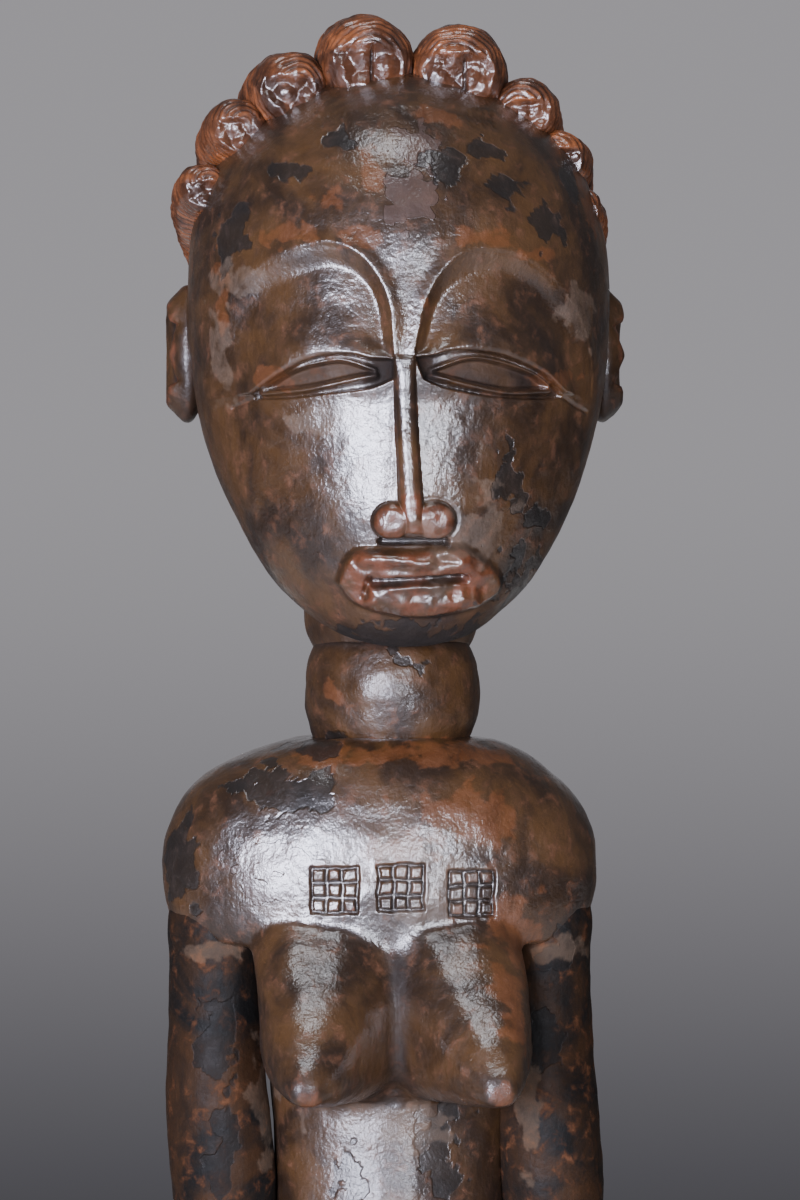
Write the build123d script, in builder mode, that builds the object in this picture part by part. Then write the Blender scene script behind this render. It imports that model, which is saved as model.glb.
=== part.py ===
from build123d import *
from math import cos, radians, sin
import os

# Standing female fertility figure, carved from one block of wood in the Baule manner.
#
# A tall egg-shaped head with a crest of eight braided tresses stands on a neck of two swollen rings.
# Below it are a rounded yoke of shoulders, a slim trunk with pointed breasts, arms that hug the body
# with the hands on the belly, full hips, short bent legs and feet on a round base.
#
# The real carving has no seams. Each carved mass is a closed solid of its own, and neighbours meet
# face to face: a piece is made a little long, and then loses what the piece beside it already fills.
#
# Millimetres, +Z up. The origin is the centre of the base's underside. The figure faces -Y, so its
# right side lies towards -X and its left side towards +X.

# Base and feet
BASE_RADIUS = 41.0
BASE_TAPER = 3.0
BASE_HEIGHT = 18.0
BASE_EDGE = 1.6
FOOT_LENGTH = 42.0
FOOT_WIDTH = 19.0
FOOT_HEIGHT = 13.0
TOE_HEIGHT = 6.5
TOE_COUNT = 5
HEEL_BACK = 13.0

# Legs
LEG_LENGTH = 96.0
LEG_SPREAD = 15.0
THIGH_RADIUS = 13.5
KNEE_RADIUS = 11.0
CALF_RADIUS = 12.0
ANKLE_RADIUS = 8.0
LEG_BEND = 6.0

# Hips and trunk
HIP_HEIGHT = 36.0
HIP_WIDTH = 58.0
HIP_DEPTH = 38.0
BUTTOCK_RADIUS = 15.0
TRUNK_HEIGHT = 85.0
WAIST_WIDTH = 46.0
WAIST_DEPTH = 35.0
BELLY_SWELL = 3.0
NAVEL_RADIUS = 3.2
NAVEL_REACH = 3.0

# Shoulders and breasts
YOKE_WIDTH = 88.0
YOKE_DEPTH = 48.0
YOKE_HEIGHT = 41.0
BREAST_ROOT_WIDTH = 31.0
BREAST_ROOT_HEIGHT = 43.0
BREAST_CORNER = 12.0
BREAST_TIP_WIDTH = 5.2
BREAST_SPREAD = 37.5
BREAST_REACH = 45.0
BREAST_DROP = 67.5

# Arms
ARM_RADIUS = 10.5
ARM_DEPTH_RADIUS = 12.0
ELBOW_DROP = 106.0
FOREARM_RADIUS = 9.5
WRIST_RADIUS = 6.6
HAND_WIDTH = 17.0
HAND_LENGTH = 20.0
HAND_THICKNESS = 8.0
FINGER_GROOVE = 1.0

# Neck
NECK_BACK = 3.0
NECK_RING_RADIUS = 17.6
NECK_PINCH_RADIUS = 15.7
NECK_RING_HEIGHT = 18.0

# Head and face
HEAD_SHIFT = 2.0
HEAD_HEIGHT = 115.0
HEAD_WIDTH = 84.0
HEAD_DEPTH = 83.0
NOSE_WIDTH = 5.0
NOSE_REACH = 4.6
NOSTRIL_RADIUS = 4.2
LIP_WIDTH = 32.0
LIP_HEIGHT = 13.5
LIP_REACH = 3.4
EYE_LENGTH = 23.0
EYE_HEIGHT = 2.8
EYE_DEPTH = 2.0
EYE_SLANT = 7.0
EAR_HEIGHT = 27.0
EAR_DEPTH = 14.0
EAR_REACH = 4.0

# Coiffure: (roll round the head in degrees, radius) of each tress, from the parting outwards
TRESSES = [(10.0, 9.6), (31.5, 8.0), (48.5, 6.4), (63.5, 5.4)]
TRESS_HAIRLINE = 69.0
TRESS_STAND = 0.4
TRESS_STATIONS = 5
TRESS_END = 1.06
BUN_RADIUS = 14.0
BUN_DROP = 28.0

# Scarification on chest and brow
MARK_SIZE = 9.0
MARK_SPACING = 14.0
MARK_GROOVE = 0.8
MARK_RISE = 0.8
MARK_COUNT = 3
MARK_LEVEL = 31.0
BROW_MARK_SPACING = 15.0
BROW_MARK_HEIGHT = 4.0
BROW_MARK_LEVEL = 0.885

# Levels up the figure
LEG_TOP = BASE_HEIGHT + LEG_LENGTH
HIP_TOP = LEG_TOP + HIP_HEIGHT
YOKE_BOTTOM = HIP_TOP + TRUNK_HEIGHT
YOKE_TOP = YOKE_BOTTOM + YOKE_HEIGHT
CHIN = YOKE_TOP + NECK_RING_HEIGHT
CROWN = CHIN + HEAD_HEIGHT

os.makedirs("parts", exist_ok=True)


def oval(level, half_width, front, back, centre_x=0.0):
    """A level ellipse that reaches from front to back."""
    with BuildSketch(Plane.XY.offset(level)) as outline:
        with Locations((centre_x, (front + back) / 2)):
            Ellipse(half_width, (back - front) / 2)
    return outline.sketch


def disc(centre, direction, radius, outward=(0, 0, 1)):
    """A disc that stands across a direction, with its seam on the outward side."""
    with BuildSketch(Plane(origin=centre, x_dir=outward, z_dir=direction)) as outline:
        Circle(radius)
    return outline.sketch


def save(part, label):
    """Labels a finished piece and writes its STEP file."""
    part.label = label
    export_step(part, f"parts/{label}.step")


# ---------------------------------------------------------------- base and feet
with BuildPart() as base:
    with BuildSketch():
        Circle(BASE_RADIUS)
    with BuildSketch(Plane.XY.offset(BASE_HEIGHT)):
        Circle(BASE_RADIUS - BASE_TAPER)
    loft()
    fillet(base.edges().filter_by(GeomType.CIRCLE), BASE_EDGE)

toe_front = HEEL_BACK - FOOT_LENGTH
with BuildPart() as foot_right:
    with BuildSketch(Plane.YZ.offset(-LEG_SPREAD)):
        with BuildLine():
            Polyline(
                (HEEL_BACK, BASE_HEIGHT),
                (toe_front, BASE_HEIGHT),
                (toe_front, BASE_HEIGHT + TOE_HEIGHT),
                (HEEL_BACK - FOOT_LENGTH / 2, BASE_HEIGHT + FOOT_HEIGHT),
                (HEEL_BACK, BASE_HEIGHT + FOOT_HEIGHT),
                close=True,
            )
        make_face()
    extrude(amount=FOOT_WIDTH / 2, both=True)
    fillet(foot_right.edges().filter_by(Axis.Z), FOOT_WIDTH / 4)
    with BuildSketch(Plane.XZ.offset(-toe_front)):
        toe_pitch = FOOT_WIDTH / TOE_COUNT
        with Locations((-LEG_SPREAD, BASE_HEIGHT + TOE_HEIGHT)):
            with GridLocations(toe_pitch, toe_pitch, TOE_COUNT - 1, 1):
                Rectangle(toe_pitch / 5, toe_pitch)
    extrude(amount=-FOOT_LENGTH / 6, mode=Mode.SUBTRACT)

# ---------------------------------------------------------------- hips
hip_half = HIP_WIDTH / 2
hip_front = -HIP_DEPTH / 2 + 2
hip_back = HIP_DEPTH / 2 + 4
waist_half = WAIST_WIDTH / 2
waist_front = -WAIST_DEPTH / 2
waist_back = WAIST_DEPTH / 2
belly_front = waist_front - BELLY_SWELL
waist_outline = (waist_half + 2, belly_front, waist_back + 1)
buttock_x = hip_half * 0.42
buttock_y = hip_back - BUTTOCK_RADIUS * 0.7
with BuildPart() as hips:
    loft(
        [
            oval(LEG_TOP, hip_half * 0.84, hip_front + 4, hip_back - 3),
            oval(LEG_TOP + HIP_HEIGHT * 0.35, hip_half, hip_front, hip_back),
            oval(LEG_TOP + HIP_HEIGHT * 0.7, hip_half * 0.95, hip_front - 2, hip_back - 3),
            oval(HIP_TOP, *waist_outline),
        ]
    )
    with Locations(Plane.XY.offset(LEG_TOP + BUTTOCK_RADIUS * 0.9)):
        with Locations((-buttock_x, buttock_y), (buttock_x, buttock_y)):
            Sphere(BUTTOCK_RADIUS)

# ---------------------------------------------------------------- legs
knee_level = BASE_HEIGHT + LEG_LENGTH * 0.53
calf_level = BASE_HEIGHT + LEG_LENGTH * 0.3
thigh_middle = (knee_level + LEG_TOP) / 2
# Level, radius and how far back of the figure's axis the middle of the leg lies
calf_stations = [
    (BASE_HEIGHT + FOOT_HEIGHT, ANKLE_RADIUS, 2.0),
    (calf_level, CALF_RADIUS, 3.0),
    (knee_level, KNEE_RADIUS, -LEG_BEND),
]
thigh_stations = [
    (knee_level, KNEE_RADIUS, -LEG_BEND),
    (thigh_middle, (KNEE_RADIUS + THIGH_RADIUS) / 2, -LEG_BEND / 2),
    (LEG_TOP, THIGH_RADIUS, 1.0),
    (LEG_TOP + THIGH_RADIUS, THIGH_RADIUS, 2.0),
]
with BuildPart() as leg_right:
    for stations in (calf_stations, thigh_stations):
        loft([oval(level, radius, y - radius, y + radius, -LEG_SPREAD) for level, radius, y in stations])
    add(hips.part, mode=Mode.SUBTRACT)

# ---------------------------------------------------------------- trunk
with BuildPart() as trunk:
    loft(
        [
            oval(HIP_TOP, *waist_outline),
            oval(HIP_TOP + TRUNK_HEIGHT * 0.18, waist_half + 1, belly_front, waist_back),
            oval(HIP_TOP + TRUNK_HEIGHT * 0.45, waist_half, waist_front, waist_back),
            oval(HIP_TOP + TRUNK_HEIGHT * 0.8, waist_half + 2, waist_front, waist_back + 1),
            oval(YOKE_BOTTOM, waist_half + 4, waist_front, waist_back + 1),
        ]
    )

navel_level = HIP_TOP + TRUNK_HEIGHT * 0.12
with BuildPart() as navel:
    with BuildSketch(Plane.XZ.offset(-waist_front)):
        with Locations((0, navel_level)):
            Circle(NAVEL_RADIUS)
    extrude(amount=BELLY_SWELL + NAVEL_REACH)
    fillet(navel.faces().sort_by(Axis.Y)[0].edges(), NAVEL_RADIUS * 0.6)
    add(trunk.part, mode=Mode.SUBTRACT)

# ---------------------------------------------------------------- shoulders
yoke_half = YOKE_WIDTH / 2
yoke_deep = YOKE_DEPTH / 2
# Share of the yoke's height, then of its half width and half depth
yoke_stations = [
    (0.0, 0.88, 0.84),
    (0.16, 0.97, 0.97),
    (0.38, 1.0, 1.0),
    (0.62, 0.95, 0.98),
    (0.8, 0.82, 0.9),
    (0.93, 0.62, 0.78),
    (1.0, 0.4, 0.7),
]
with BuildPart() as shoulders:
    loft(
        [
            oval(
                YOKE_BOTTOM + YOKE_HEIGHT * share,
                yoke_half * width,
                NECK_BACK * share - yoke_deep * depth,
                NECK_BACK * share + yoke_deep * depth,
            )
            for share, width, depth in yoke_stations
        ]
    )

# ---------------------------------------------------------------- breasts
tip_level = YOKE_TOP - BREAST_DROP
root_y = waist_front + 4
root_x = -BREAST_ROOT_WIDTH * 0.35
root_level = tip_level + BREAST_ROOT_HEIGHT * 0.41
mid_width = BREAST_ROOT_WIDTH * 0.71
mid_height = BREAST_ROOT_HEIGHT * 0.6
tip_x = -BREAST_SPREAD / 2


def upright_panel(x, y, level, width, height, corner):
    """A round-cornered panel that faces forward."""
    with BuildSketch(Plane.XZ.offset(-y)) as outline:
        with Locations((x, level)):
            RectangleRounded(width, height, corner)
    return outline.sketch


# Two cones that share a valley between them, with a flat underside
with BuildPart() as breast_right:
    loft(
        [
            upright_panel(root_x, root_y, root_level, BREAST_ROOT_WIDTH, BREAST_ROOT_HEIGHT, BREAST_CORNER),
            upright_panel(
                (root_x + tip_x) / 2,
                (root_y - BREAST_REACH) / 2,
                tip_level + mid_height * 0.36,
                mid_width,
                mid_height,
                BREAST_CORNER * 0.75,
            ),
            upright_panel(tip_x, -BREAST_REACH, tip_level, BREAST_TIP_WIDTH, BREAST_TIP_WIDTH, BREAST_TIP_WIDTH * 0.4),
        ]
    )
    fillet(breast_right.faces().sort_by(Axis.Y)[0].edges(), BREAST_TIP_WIDTH * 0.3)
    split(bisect_by=Plane.YZ, keep=Keep.BOTTOM)
    add(trunk.part, mode=Mode.SUBTRACT)
    add(shoulders.part, mode=Mode.SUBTRACT)

# ---------------------------------------------------------------- arms
arm_x = yoke_half - ARM_RADIUS - 1.0
elbow_level = YOKE_TOP - ELBOW_DROP + FOREARM_RADIUS
# Level, then share of the arm's width and of its depth
arm_stations = [
    (elbow_level - FOREARM_RADIUS, 0.8, 0.7),
    (elbow_level, 0.97, 0.92),
    ((elbow_level + YOKE_BOTTOM) / 2, 1.0, 1.0),
    (YOKE_BOTTOM + 3, 0.95, 1.0),
]
with BuildPart() as arm_right:
    loft(
        [
            oval(
                level,
                ARM_RADIUS * width,
                -ARM_DEPTH_RADIUS * depth,
                ARM_DEPTH_RADIUS * depth,
                -arm_x,
            )
            for level, width, depth in arm_stations
        ]
    )
    add(trunk.part, mode=Mode.SUBTRACT)
    add(shoulders.part, mode=Mode.SUBTRACT)
    add(breast_right.part, mode=Mode.SUBTRACT)

elbow = Vector(-arm_x, 2, elbow_level - 1)
wrist = Vector(-waist_half * 0.78, waist_front - 7, navel_level + 2)
forearm_axis = wrist - elbow
hand_centre = wrist + Vector(HAND_LENGTH * 0.3, 0.5, -HAND_LENGTH * 0.12)
hand_plane = Plane(origin=hand_centre, x_dir=(1, 0, -0.5), z_dir=(0, -1, 0))
with BuildPart() as forearm_right:
    loft(
        [
            disc(elbow, forearm_axis, FOREARM_RADIUS),
            disc(elbow + forearm_axis * 0.5, forearm_axis, FOREARM_RADIUS * 0.94),
            disc(wrist, forearm_axis, WRIST_RADIUS),
        ]
    )
    with BuildSketch(hand_plane.offset(-HAND_THICKNESS / 2)):
        RectangleRounded(HAND_LENGTH, HAND_WIDTH, HAND_WIDTH / 4)
    extrude(amount=HAND_THICKNESS)
    with BuildSketch(hand_plane.offset(HAND_THICKNESS / 2)):
        with Locations((HAND_LENGTH / 4, 0)):
            with GridLocations(1, HAND_WIDTH / 4, 1, 3):
                Rectangle(HAND_LENGTH / 2, FINGER_GROOVE)
    extrude(amount=-FINGER_GROOVE, mode=Mode.SUBTRACT)
    add(trunk.part, mode=Mode.SUBTRACT)
    add(navel.part, mode=Mode.SUBTRACT)
    add(hips.part, mode=Mode.SUBTRACT)
    add(arm_right.part, mode=Mode.SUBTRACT)

# ---------------------------------------------------------------- head and face
head_half = HEAD_WIDTH / 2
head_deep = HEAD_DEPTH / 2
head_middle = Plane.YZ.offset(HEAD_SHIFT)
# Share of the head's height, then of its half width, and how far front and back lie in half depths
head_stations = [
    (0.016, 0.26, -0.8, -0.3),
    (0.06, 0.46, -0.92, 0.08),
    (0.115, 0.62, -0.97, 0.36),
    (0.21, 0.78, -1.0, 0.64),
    (0.38, 0.94, -1.0, 0.9),
    (0.55, 1.0, -1.0, 1.0),
    (0.72, 0.97, -0.95, 0.97),
    (0.84, 0.84, -0.8, 0.85),
    (0.93, 0.64, -0.56, 0.6),
    (0.985, 0.32, -0.28, 0.3),
]
eye_level = CHIN + HEAD_HEIGHT * 0.465
nose_top = CHIN + HEAD_HEIGHT * 0.505
nostril_level = CHIN + HEAD_HEIGHT * 0.217
lip_level = CHIN + HEAD_HEIGHT * 0.113
face_front = -head_deep
eye_x = NOSE_WIDTH / 2 + 3 + EYE_LENGTH / 2
with BuildPart() as head:
    chin_point = Vertex(HEAD_SHIFT, -head_deep * 0.56, CHIN)
    crown_point = Vertex(HEAD_SHIFT, 0, CROWN)
    egg = [
        oval(
            CHIN + HEAD_HEIGHT * share,
            head_half * width,
            head_deep * front,
            head_deep * back,
            HEAD_SHIFT,
        )
        for share, width, front, back in head_stations
    ]
    loft([chin_point, *egg, crown_point])
    # Nose ridge
    with BuildSketch(Plane.XZ.offset(-face_front - 3)):
        with Locations((HEAD_SHIFT, (nose_top + nostril_level) / 2)):
            Rectangle(NOSE_WIDTH * 1.6, nose_top - nostril_level)
    extrude(amount=3 + NOSE_REACH, taper=11)
    # Nostrils
    with Locations(Plane.XZ.offset(-face_front + 1)):
        with Locations(
            (HEAD_SHIFT - NOSTRIL_RADIUS, nostril_level),
            (HEAD_SHIFT + NOSTRIL_RADIUS, nostril_level),
        ):
            Sphere(NOSTRIL_RADIUS)
    # Lips, with the slit of the mouth
    lip_back = oval(-face_front - 8, LIP_WIDTH / 2, -LIP_HEIGHT / 2, LIP_HEIGHT / 2)
    lip_front = oval(-face_front + LIP_REACH, LIP_WIDTH * 0.36, -LIP_HEIGHT * 0.3, LIP_HEIGHT * 0.3)
    upright = Location((HEAD_SHIFT, 0, lip_level), (90, 0, 0))
    loft([lip_back.moved(upright), lip_front.moved(upright)])
    with BuildSketch(Plane.XZ.offset(-face_front + LIP_REACH)):
        with Locations((HEAD_SHIFT, lip_level)):
            SlotOverall(LIP_WIDTH * 0.62, LIP_HEIGHT / 9)
    extrude(amount=-LIP_REACH / 2, mode=Mode.SUBTRACT)
    # Narrow slanting eyes
    for side in (-1, 1):
        with BuildSketch(Plane.XZ.offset(-face_front + 2)):
            with Locations(Location((HEAD_SHIFT + side * eye_x, eye_level), -side * EYE_SLANT)):
                Ellipse(EYE_LENGTH / 2, EYE_HEIGHT / 2)
        extrude(amount=-head_deep * 0.22 - EYE_DEPTH, mode=Mode.SUBTRACT)

ear_level = CHIN + HEAD_HEIGHT * 0.51
with BuildPart() as ear_right:
    with BuildSketch(Plane.YZ.offset(HEAD_SHIFT - head_half * 0.9)):
        with Locations((head_deep * 0.2, ear_level)):
            Ellipse(EAR_DEPTH / 2, EAR_HEIGHT / 2)
    extrude(amount=-head_half * 0.1 - EAR_REACH)
    ear_outside = ear_right.faces().sort_by(Axis.X)[0]
    fillet(ear_outside.edges(), EAR_REACH * 0.3)
    with BuildSketch(Plane.YZ.offset(HEAD_SHIFT - head_half - EAR_REACH)):
        with Locations((head_deep * 0.2 - EAR_DEPTH * 0.12, ear_level)):
            Ellipse(EAR_DEPTH * 0.26, EAR_HEIGHT * 0.32)
    extrude(amount=EAR_REACH * 0.6, mode=Mode.SUBTRACT)
    add(head.part, mode=Mode.SUBTRACT)

# ---------------------------------------------------------------- neck
def swollen_ring(bottom, height):
    """A ring whose wall swells between two pinched rims."""
    with BuildPart() as ring:
        with BuildSketch(Plane.XZ):
            with BuildLine():
                foot = (0, bottom)
                rim = (NECK_PINCH_RADIUS, bottom)
                swell = (NECK_RING_RADIUS, bottom + height / 2)
                top_rim = (NECK_PINCH_RADIUS, bottom + height)
                Line(foot, rim)
                ThreePointArc(rim, swell, top_rim)
                Line(top_rim, (0, bottom + height))
                Line((0, bottom + height), foot)
            make_face()
        revolve(axis=Axis.Z)
    return ring.part.moved(Location((HEAD_SHIFT / 2, NECK_BACK, 0)))


neck_ring_lower = swollen_ring(YOKE_TOP, NECK_RING_HEIGHT)
with BuildPart() as neck_ring_upper:
    add(swollen_ring(CHIN, NECK_RING_HEIGHT))
    add(head.part, mode=Mode.SUBTRACT)

# ---------------------------------------------------------------- coiffure
head_centre = Vector(HEAD_SHIFT, 0, CHIN + HEAD_HEIGHT * 0.55)
crown_rise = CROWN - head_centre.Z
nape_direction = Vector(0, sin(radians(90 + BUN_DROP)), cos(radians(90 + BUN_DROP)))
bun_centre = head_centre + Vector(0, head_deep * nape_direction.Y, crown_rise * nape_direction.Z)


def tress_direction(roll, share):
    """Unit vector from the head's centre to a tress, from the hairline (0) to the nape (1)."""
    lean = radians(TRESS_HAIRLINE)
    start = Vector(-sin(lean) * sin(radians(roll)), -cos(lean), sin(lean) * cos(radians(roll)))
    sweep_angle = radians(start.get_angle(nape_direction))
    from_start = sin((1 - share) * sweep_angle) / sin(sweep_angle)
    from_nape = sin(share * sweep_angle) / sin(sweep_angle)
    return start * from_start + nape_direction * from_nape


def tress_point(roll, share, radius):
    """A point of a tress's centre line, standing proud of the skull."""
    toward = tress_direction(roll, share)
    on_skull = Vector(toward.X * head_half, toward.Y * head_deep, toward.Z * crown_rise)
    return head_centre + on_skull * (1 + radius * TRESS_STAND / head_half)


with BuildPart() as hair_bun:
    with Locations(bun_centre):
        Sphere(BUN_RADIUS)
    add(head.part, mode=Mode.SUBTRACT)

tresses = []
for roll, radius in TRESSES:
    with BuildPart() as tress:
        rounds = []
        for station in range(TRESS_STATIONS + 1):
            share = station * 0.92 / TRESS_STATIONS
            here = tress_point(roll, share, radius)
            ahead = tress_point(roll, share + 0.04, radius)
            taper = 1 - 0.45 * share**2
            rounds.append(disc(here, ahead - here, radius * taper, here - head_centre))
        loft(rounds)
        with Locations(tress_point(roll, 0, radius)):
            Sphere(radius * TRESS_END)
        split(bisect_by=head_middle, keep=Keep.BOTTOM)
        add(head.part, mode=Mode.SUBTRACT)
        add(hair_bun.part, mode=Mode.SUBTRACT)
        add(ear_right.part, mode=Mode.SUBTRACT)
        if tresses:
            add(tresses[-1], mode=Mode.SUBTRACT)
        # Crumbs cut loose beside the ear do not belong to the tress
        add(tress.solids().sort_by(SortBy.VOLUME)[-1], mode=Mode.REPLACE)
    tresses.append(tress.part)

# ---------------------------------------------------------------- scarification
mark_level = YOKE_TOP - MARK_LEVEL
mark_pitch = MARK_SIZE / MARK_COUNT
with BuildPart() as chest_marks:
    with BuildSketch(Plane.XZ.offset(yoke_deep * 0.6)):
        with Locations((0, mark_level)):
            with GridLocations(MARK_SPACING, 1, 3, 1):
                with GridLocations(mark_pitch, mark_pitch, MARK_COUNT, MARK_COUNT):
                    Rectangle(mark_pitch - MARK_GROOVE, mark_pitch - MARK_GROOVE)
    extrude(amount=yoke_deep * 0.6)
    add(shoulders.part.moved(Location((0, -MARK_RISE, 0))), mode=Mode.INTERSECT)
    add(shoulders.part, mode=Mode.SUBTRACT)
    add(breast_right.part, mode=Mode.SUBTRACT)
    add(mirror(breast_right.part, about=Plane.YZ), mode=Mode.SUBTRACT)

brow_mark_level = CHIN + HEAD_HEIGHT * BROW_MARK_LEVEL
with BuildPart() as brow_marks:
    with BuildSketch(Plane.XZ.offset(head_deep * 0.3)):
        with Locations((HEAD_SHIFT, brow_mark_level)):
            with GridLocations(BROW_MARK_SPACING, 1, 3, 1):
                with GridLocations(BROW_MARK_HEIGHT / 2, 1, 3, 1):
                    Rectangle(BROW_MARK_HEIGHT / 4, BROW_MARK_HEIGHT)
    extrude(amount=head_deep * 0.6)
    add(head.part.moved(Location((0, -MARK_RISE, MARK_RISE))), mode=Mode.INTERSECT)
    add(head.part, mode=Mode.SUBTRACT)

# ---------------------------------------------------------------- files
save(base.part, "base")
save(hips.part, "hips")
save(trunk.part, "trunk")
save(navel.part, "navel")
save(shoulders.part, "shoulders")
save(chest_marks.part, "chest_marks")
save(neck_ring_lower, "neck_ring_lower")
save(neck_ring_upper.part, "neck_ring_upper")
save(head.part, "head")
save(brow_marks.part, "brow_marks")
save(hair_bun.part, "hair_bun")

pairs = [
    (foot_right.part, "foot", 0.0),
    (leg_right.part, "leg", 0.0),
    (forearm_right.part, "forearm", 0.0),
    (arm_right.part, "upper_arm", 0.0),
    (breast_right.part, "breast", 0.0),
    (ear_right.part, "ear", HEAD_SHIFT),
]
pairs += [(part, f"tress_{number + 1}", HEAD_SHIFT) for number, part in enumerate(tresses)]
for part, name, about in pairs:
    save(part, f"{name}_right")
    save(mirror(part, about=Plane.YZ.offset(about)), f"{name}_left")
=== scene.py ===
"""Looks of a carved wooden fertility figure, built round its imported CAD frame.

Run as a script. Every carved mass is a closed mesh in metres, in the frame of the CAD model:
+Z up, the figure faces -Y, its own right side towards -X. Lengths named below are millimetres
unless a property says otherwise, because that is how a carver measures them.
"""

from math import cos, pi, radians, sin

import bmesh
import bpy
import numpy as np
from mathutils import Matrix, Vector
from mathutils.bvhtree import BVHTree


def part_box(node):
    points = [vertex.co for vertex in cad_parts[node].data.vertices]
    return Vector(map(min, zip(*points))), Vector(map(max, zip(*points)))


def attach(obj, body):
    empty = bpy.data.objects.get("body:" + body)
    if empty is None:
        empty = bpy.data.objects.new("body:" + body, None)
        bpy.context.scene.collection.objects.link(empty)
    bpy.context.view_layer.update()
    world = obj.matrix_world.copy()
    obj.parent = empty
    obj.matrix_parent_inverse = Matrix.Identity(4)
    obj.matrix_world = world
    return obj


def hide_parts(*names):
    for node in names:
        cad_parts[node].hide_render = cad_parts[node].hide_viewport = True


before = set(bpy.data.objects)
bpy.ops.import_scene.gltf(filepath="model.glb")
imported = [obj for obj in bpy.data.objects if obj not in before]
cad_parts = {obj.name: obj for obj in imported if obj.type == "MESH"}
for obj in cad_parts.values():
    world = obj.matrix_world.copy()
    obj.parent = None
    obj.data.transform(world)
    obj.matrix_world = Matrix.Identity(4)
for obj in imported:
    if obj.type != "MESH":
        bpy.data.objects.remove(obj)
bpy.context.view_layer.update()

bl_info = {
    "name": "Carved Fertility Figure",
    "version": (1, 0, 0),
    "blender": (4, 5, 0),
    "location": "3D Viewport > Sidebar > Figure",
    "description": "Carves the head, coiffure, body and base of a wooden figure round its CAD frame",
    "category": "Add Mesh",
}

MM = 0.001


def box_mm(*nodes):
    """Lowest and highest corner of one or more CAD nodes, in millimetres."""
    corners = [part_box(node) for node in nodes]
    low = np.min([np.array(pair[0]) for pair in corners], axis=0) / MM
    high = np.max([np.array(pair[1]) for pair in corners], axis=0) / MM
    return low, high


HEAD_LOW, HEAD_HIGH = box_mm("head")
EAR_LOW, EAR_HIGH = box_mm("ear_right", "ear_left")
BUN_LOW, BUN_HIGH = box_mm("hair_bun")
HEAD_X = (EAR_LOW[0] + EAR_HIGH[0]) / 2
CHIN = HEAD_LOW[2]
CROWN = HEAD_HIGH[2]
HEAD_TALL = CROWN - CHIN
HEAD_HALF_WIDE = 42.0
HEAD_HALF_DEEP = 41.5
SKULL_HEART = np.array([HEAD_X, 0.0, CHIN + HEAD_TALL * 0.55])


# ------------------------------------------------------------------ mesh helpers
def deselect():
    """Leaves nothing selected and no mode open."""
    if bpy.context.object and bpy.context.object.mode != "OBJECT":
        bpy.ops.object.mode_set(mode="OBJECT")
    bpy.ops.object.select_all(action="DESELECT")


def finish_primitive(name):
    """Names the primitive that was just added, and its mesh."""
    piece = bpy.context.object
    piece.name = name
    piece.data.name = name
    return piece


def read_points(piece):
    """The mesh's vertices in millimetres, one row each."""
    flat = np.empty(len(piece.data.vertices) * 3)
    piece.data.vertices.foreach_get("co", flat)
    return flat.reshape(-1, 3) / MM


def write_points(piece, points):
    """Puts the vertices at these places, in millimetres."""
    piece.data.vertices.foreach_set("co", (points * MM).ravel())
    piece.data.update()


def read_normals(piece):
    """The mesh's vertex normals, one row each."""
    flat = np.empty(len(piece.data.vertices) * 3)
    piece.data.vertex_normals.foreach_get("vector", flat)
    return flat.reshape(-1, 3)


def select_faces(piece, chosen):
    """Opens edit mode with the chosen faces selected; chosen takes face centres in millimetres."""
    deselect()
    bpy.context.view_layer.objects.active = piece
    piece.select_set(True)
    flat = np.empty(len(piece.data.polygons) * 3)
    piece.data.polygons.foreach_get("center", flat)
    mask = chosen(flat.reshape(-1, 3) / MM)
    bpy.ops.object.mode_set(mode="EDIT")
    bpy.ops.mesh.select_mode(type="FACE")
    bpy.ops.mesh.select_all(action="DESELECT")
    bpy.ops.object.mode_set(mode="OBJECT")
    piece.data.polygons.foreach_set("select", mask)
    bpy.ops.object.mode_set(mode="EDIT")


def refine(piece, chosen):
    """Cuts the chosen faces in four."""
    select_faces(piece, chosen)
    bpy.ops.mesh.subdivide(number_cuts=1)
    bpy.ops.object.mode_set(mode="OBJECT")


def soften(piece, chosen, passes):
    """Smooths the chosen part of a mesh."""
    select_faces(piece, chosen)
    bpy.ops.mesh.vertices_smooth(factor=0.5, repeat=passes)
    bpy.ops.object.mode_set(mode="OBJECT")


def apply_modifier(piece, kind, **settings):
    """Adds a modifier, sets it and applies it."""
    bpy.context.view_layer.objects.active = piece
    modifier = piece.modifiers.new(kind, kind)
    for key, value in settings.items():
        setattr(modifier, key, value)
    bpy.ops.object.modifier_apply(modifier=modifier.name)


def shade_smooth(piece):
    """Smooth shading over the whole piece."""
    piece.data.polygons.foreach_set("use_smooth", np.ones(len(piece.data.polygons), bool))
    piece.data.update()


def paint(piece, **layers):
    """Stores each named layer for the finish to read: a number for every vertex, or one for all."""
    for name, values in layers.items():
        layer = piece.data.attributes.new(name, "FLOAT", "POINT")
        spread = np.broadcast_to(np.clip(values, 0.0, 1.0), len(layer.data))
        layer.data.foreach_set("value", spread.astype(np.float32))


def copy_of_nodes(name, *nodes):
    """One mesh that holds copies of CAD nodes, with their loose triangles merged."""
    deselect()
    mesh = bpy.data.meshes.new(name)
    gathered = bmesh.new()
    for node in nodes:
        gathered.from_mesh(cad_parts[node].data)
    bmesh.ops.remove_doubles(gathered, verts=gathered.verts, dist=0.005 * MM)
    gathered.to_mesh(mesh)
    gathered.free()
    mesh.materials.clear()
    piece = bpy.data.objects.new(name, mesh)
    bpy.context.collection.objects.link(piece)
    bpy.context.view_layer.objects.active = piece
    piece.select_set(True)
    return piece


def stand_for(piece, slot, material, *nodes):
    """Gives a piece its finish, and lets it ride in place of its CAD nodes."""
    piece.data.materials.clear()
    piece.data.materials.append(material)
    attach(piece, "root")
    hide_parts(*nodes)


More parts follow.
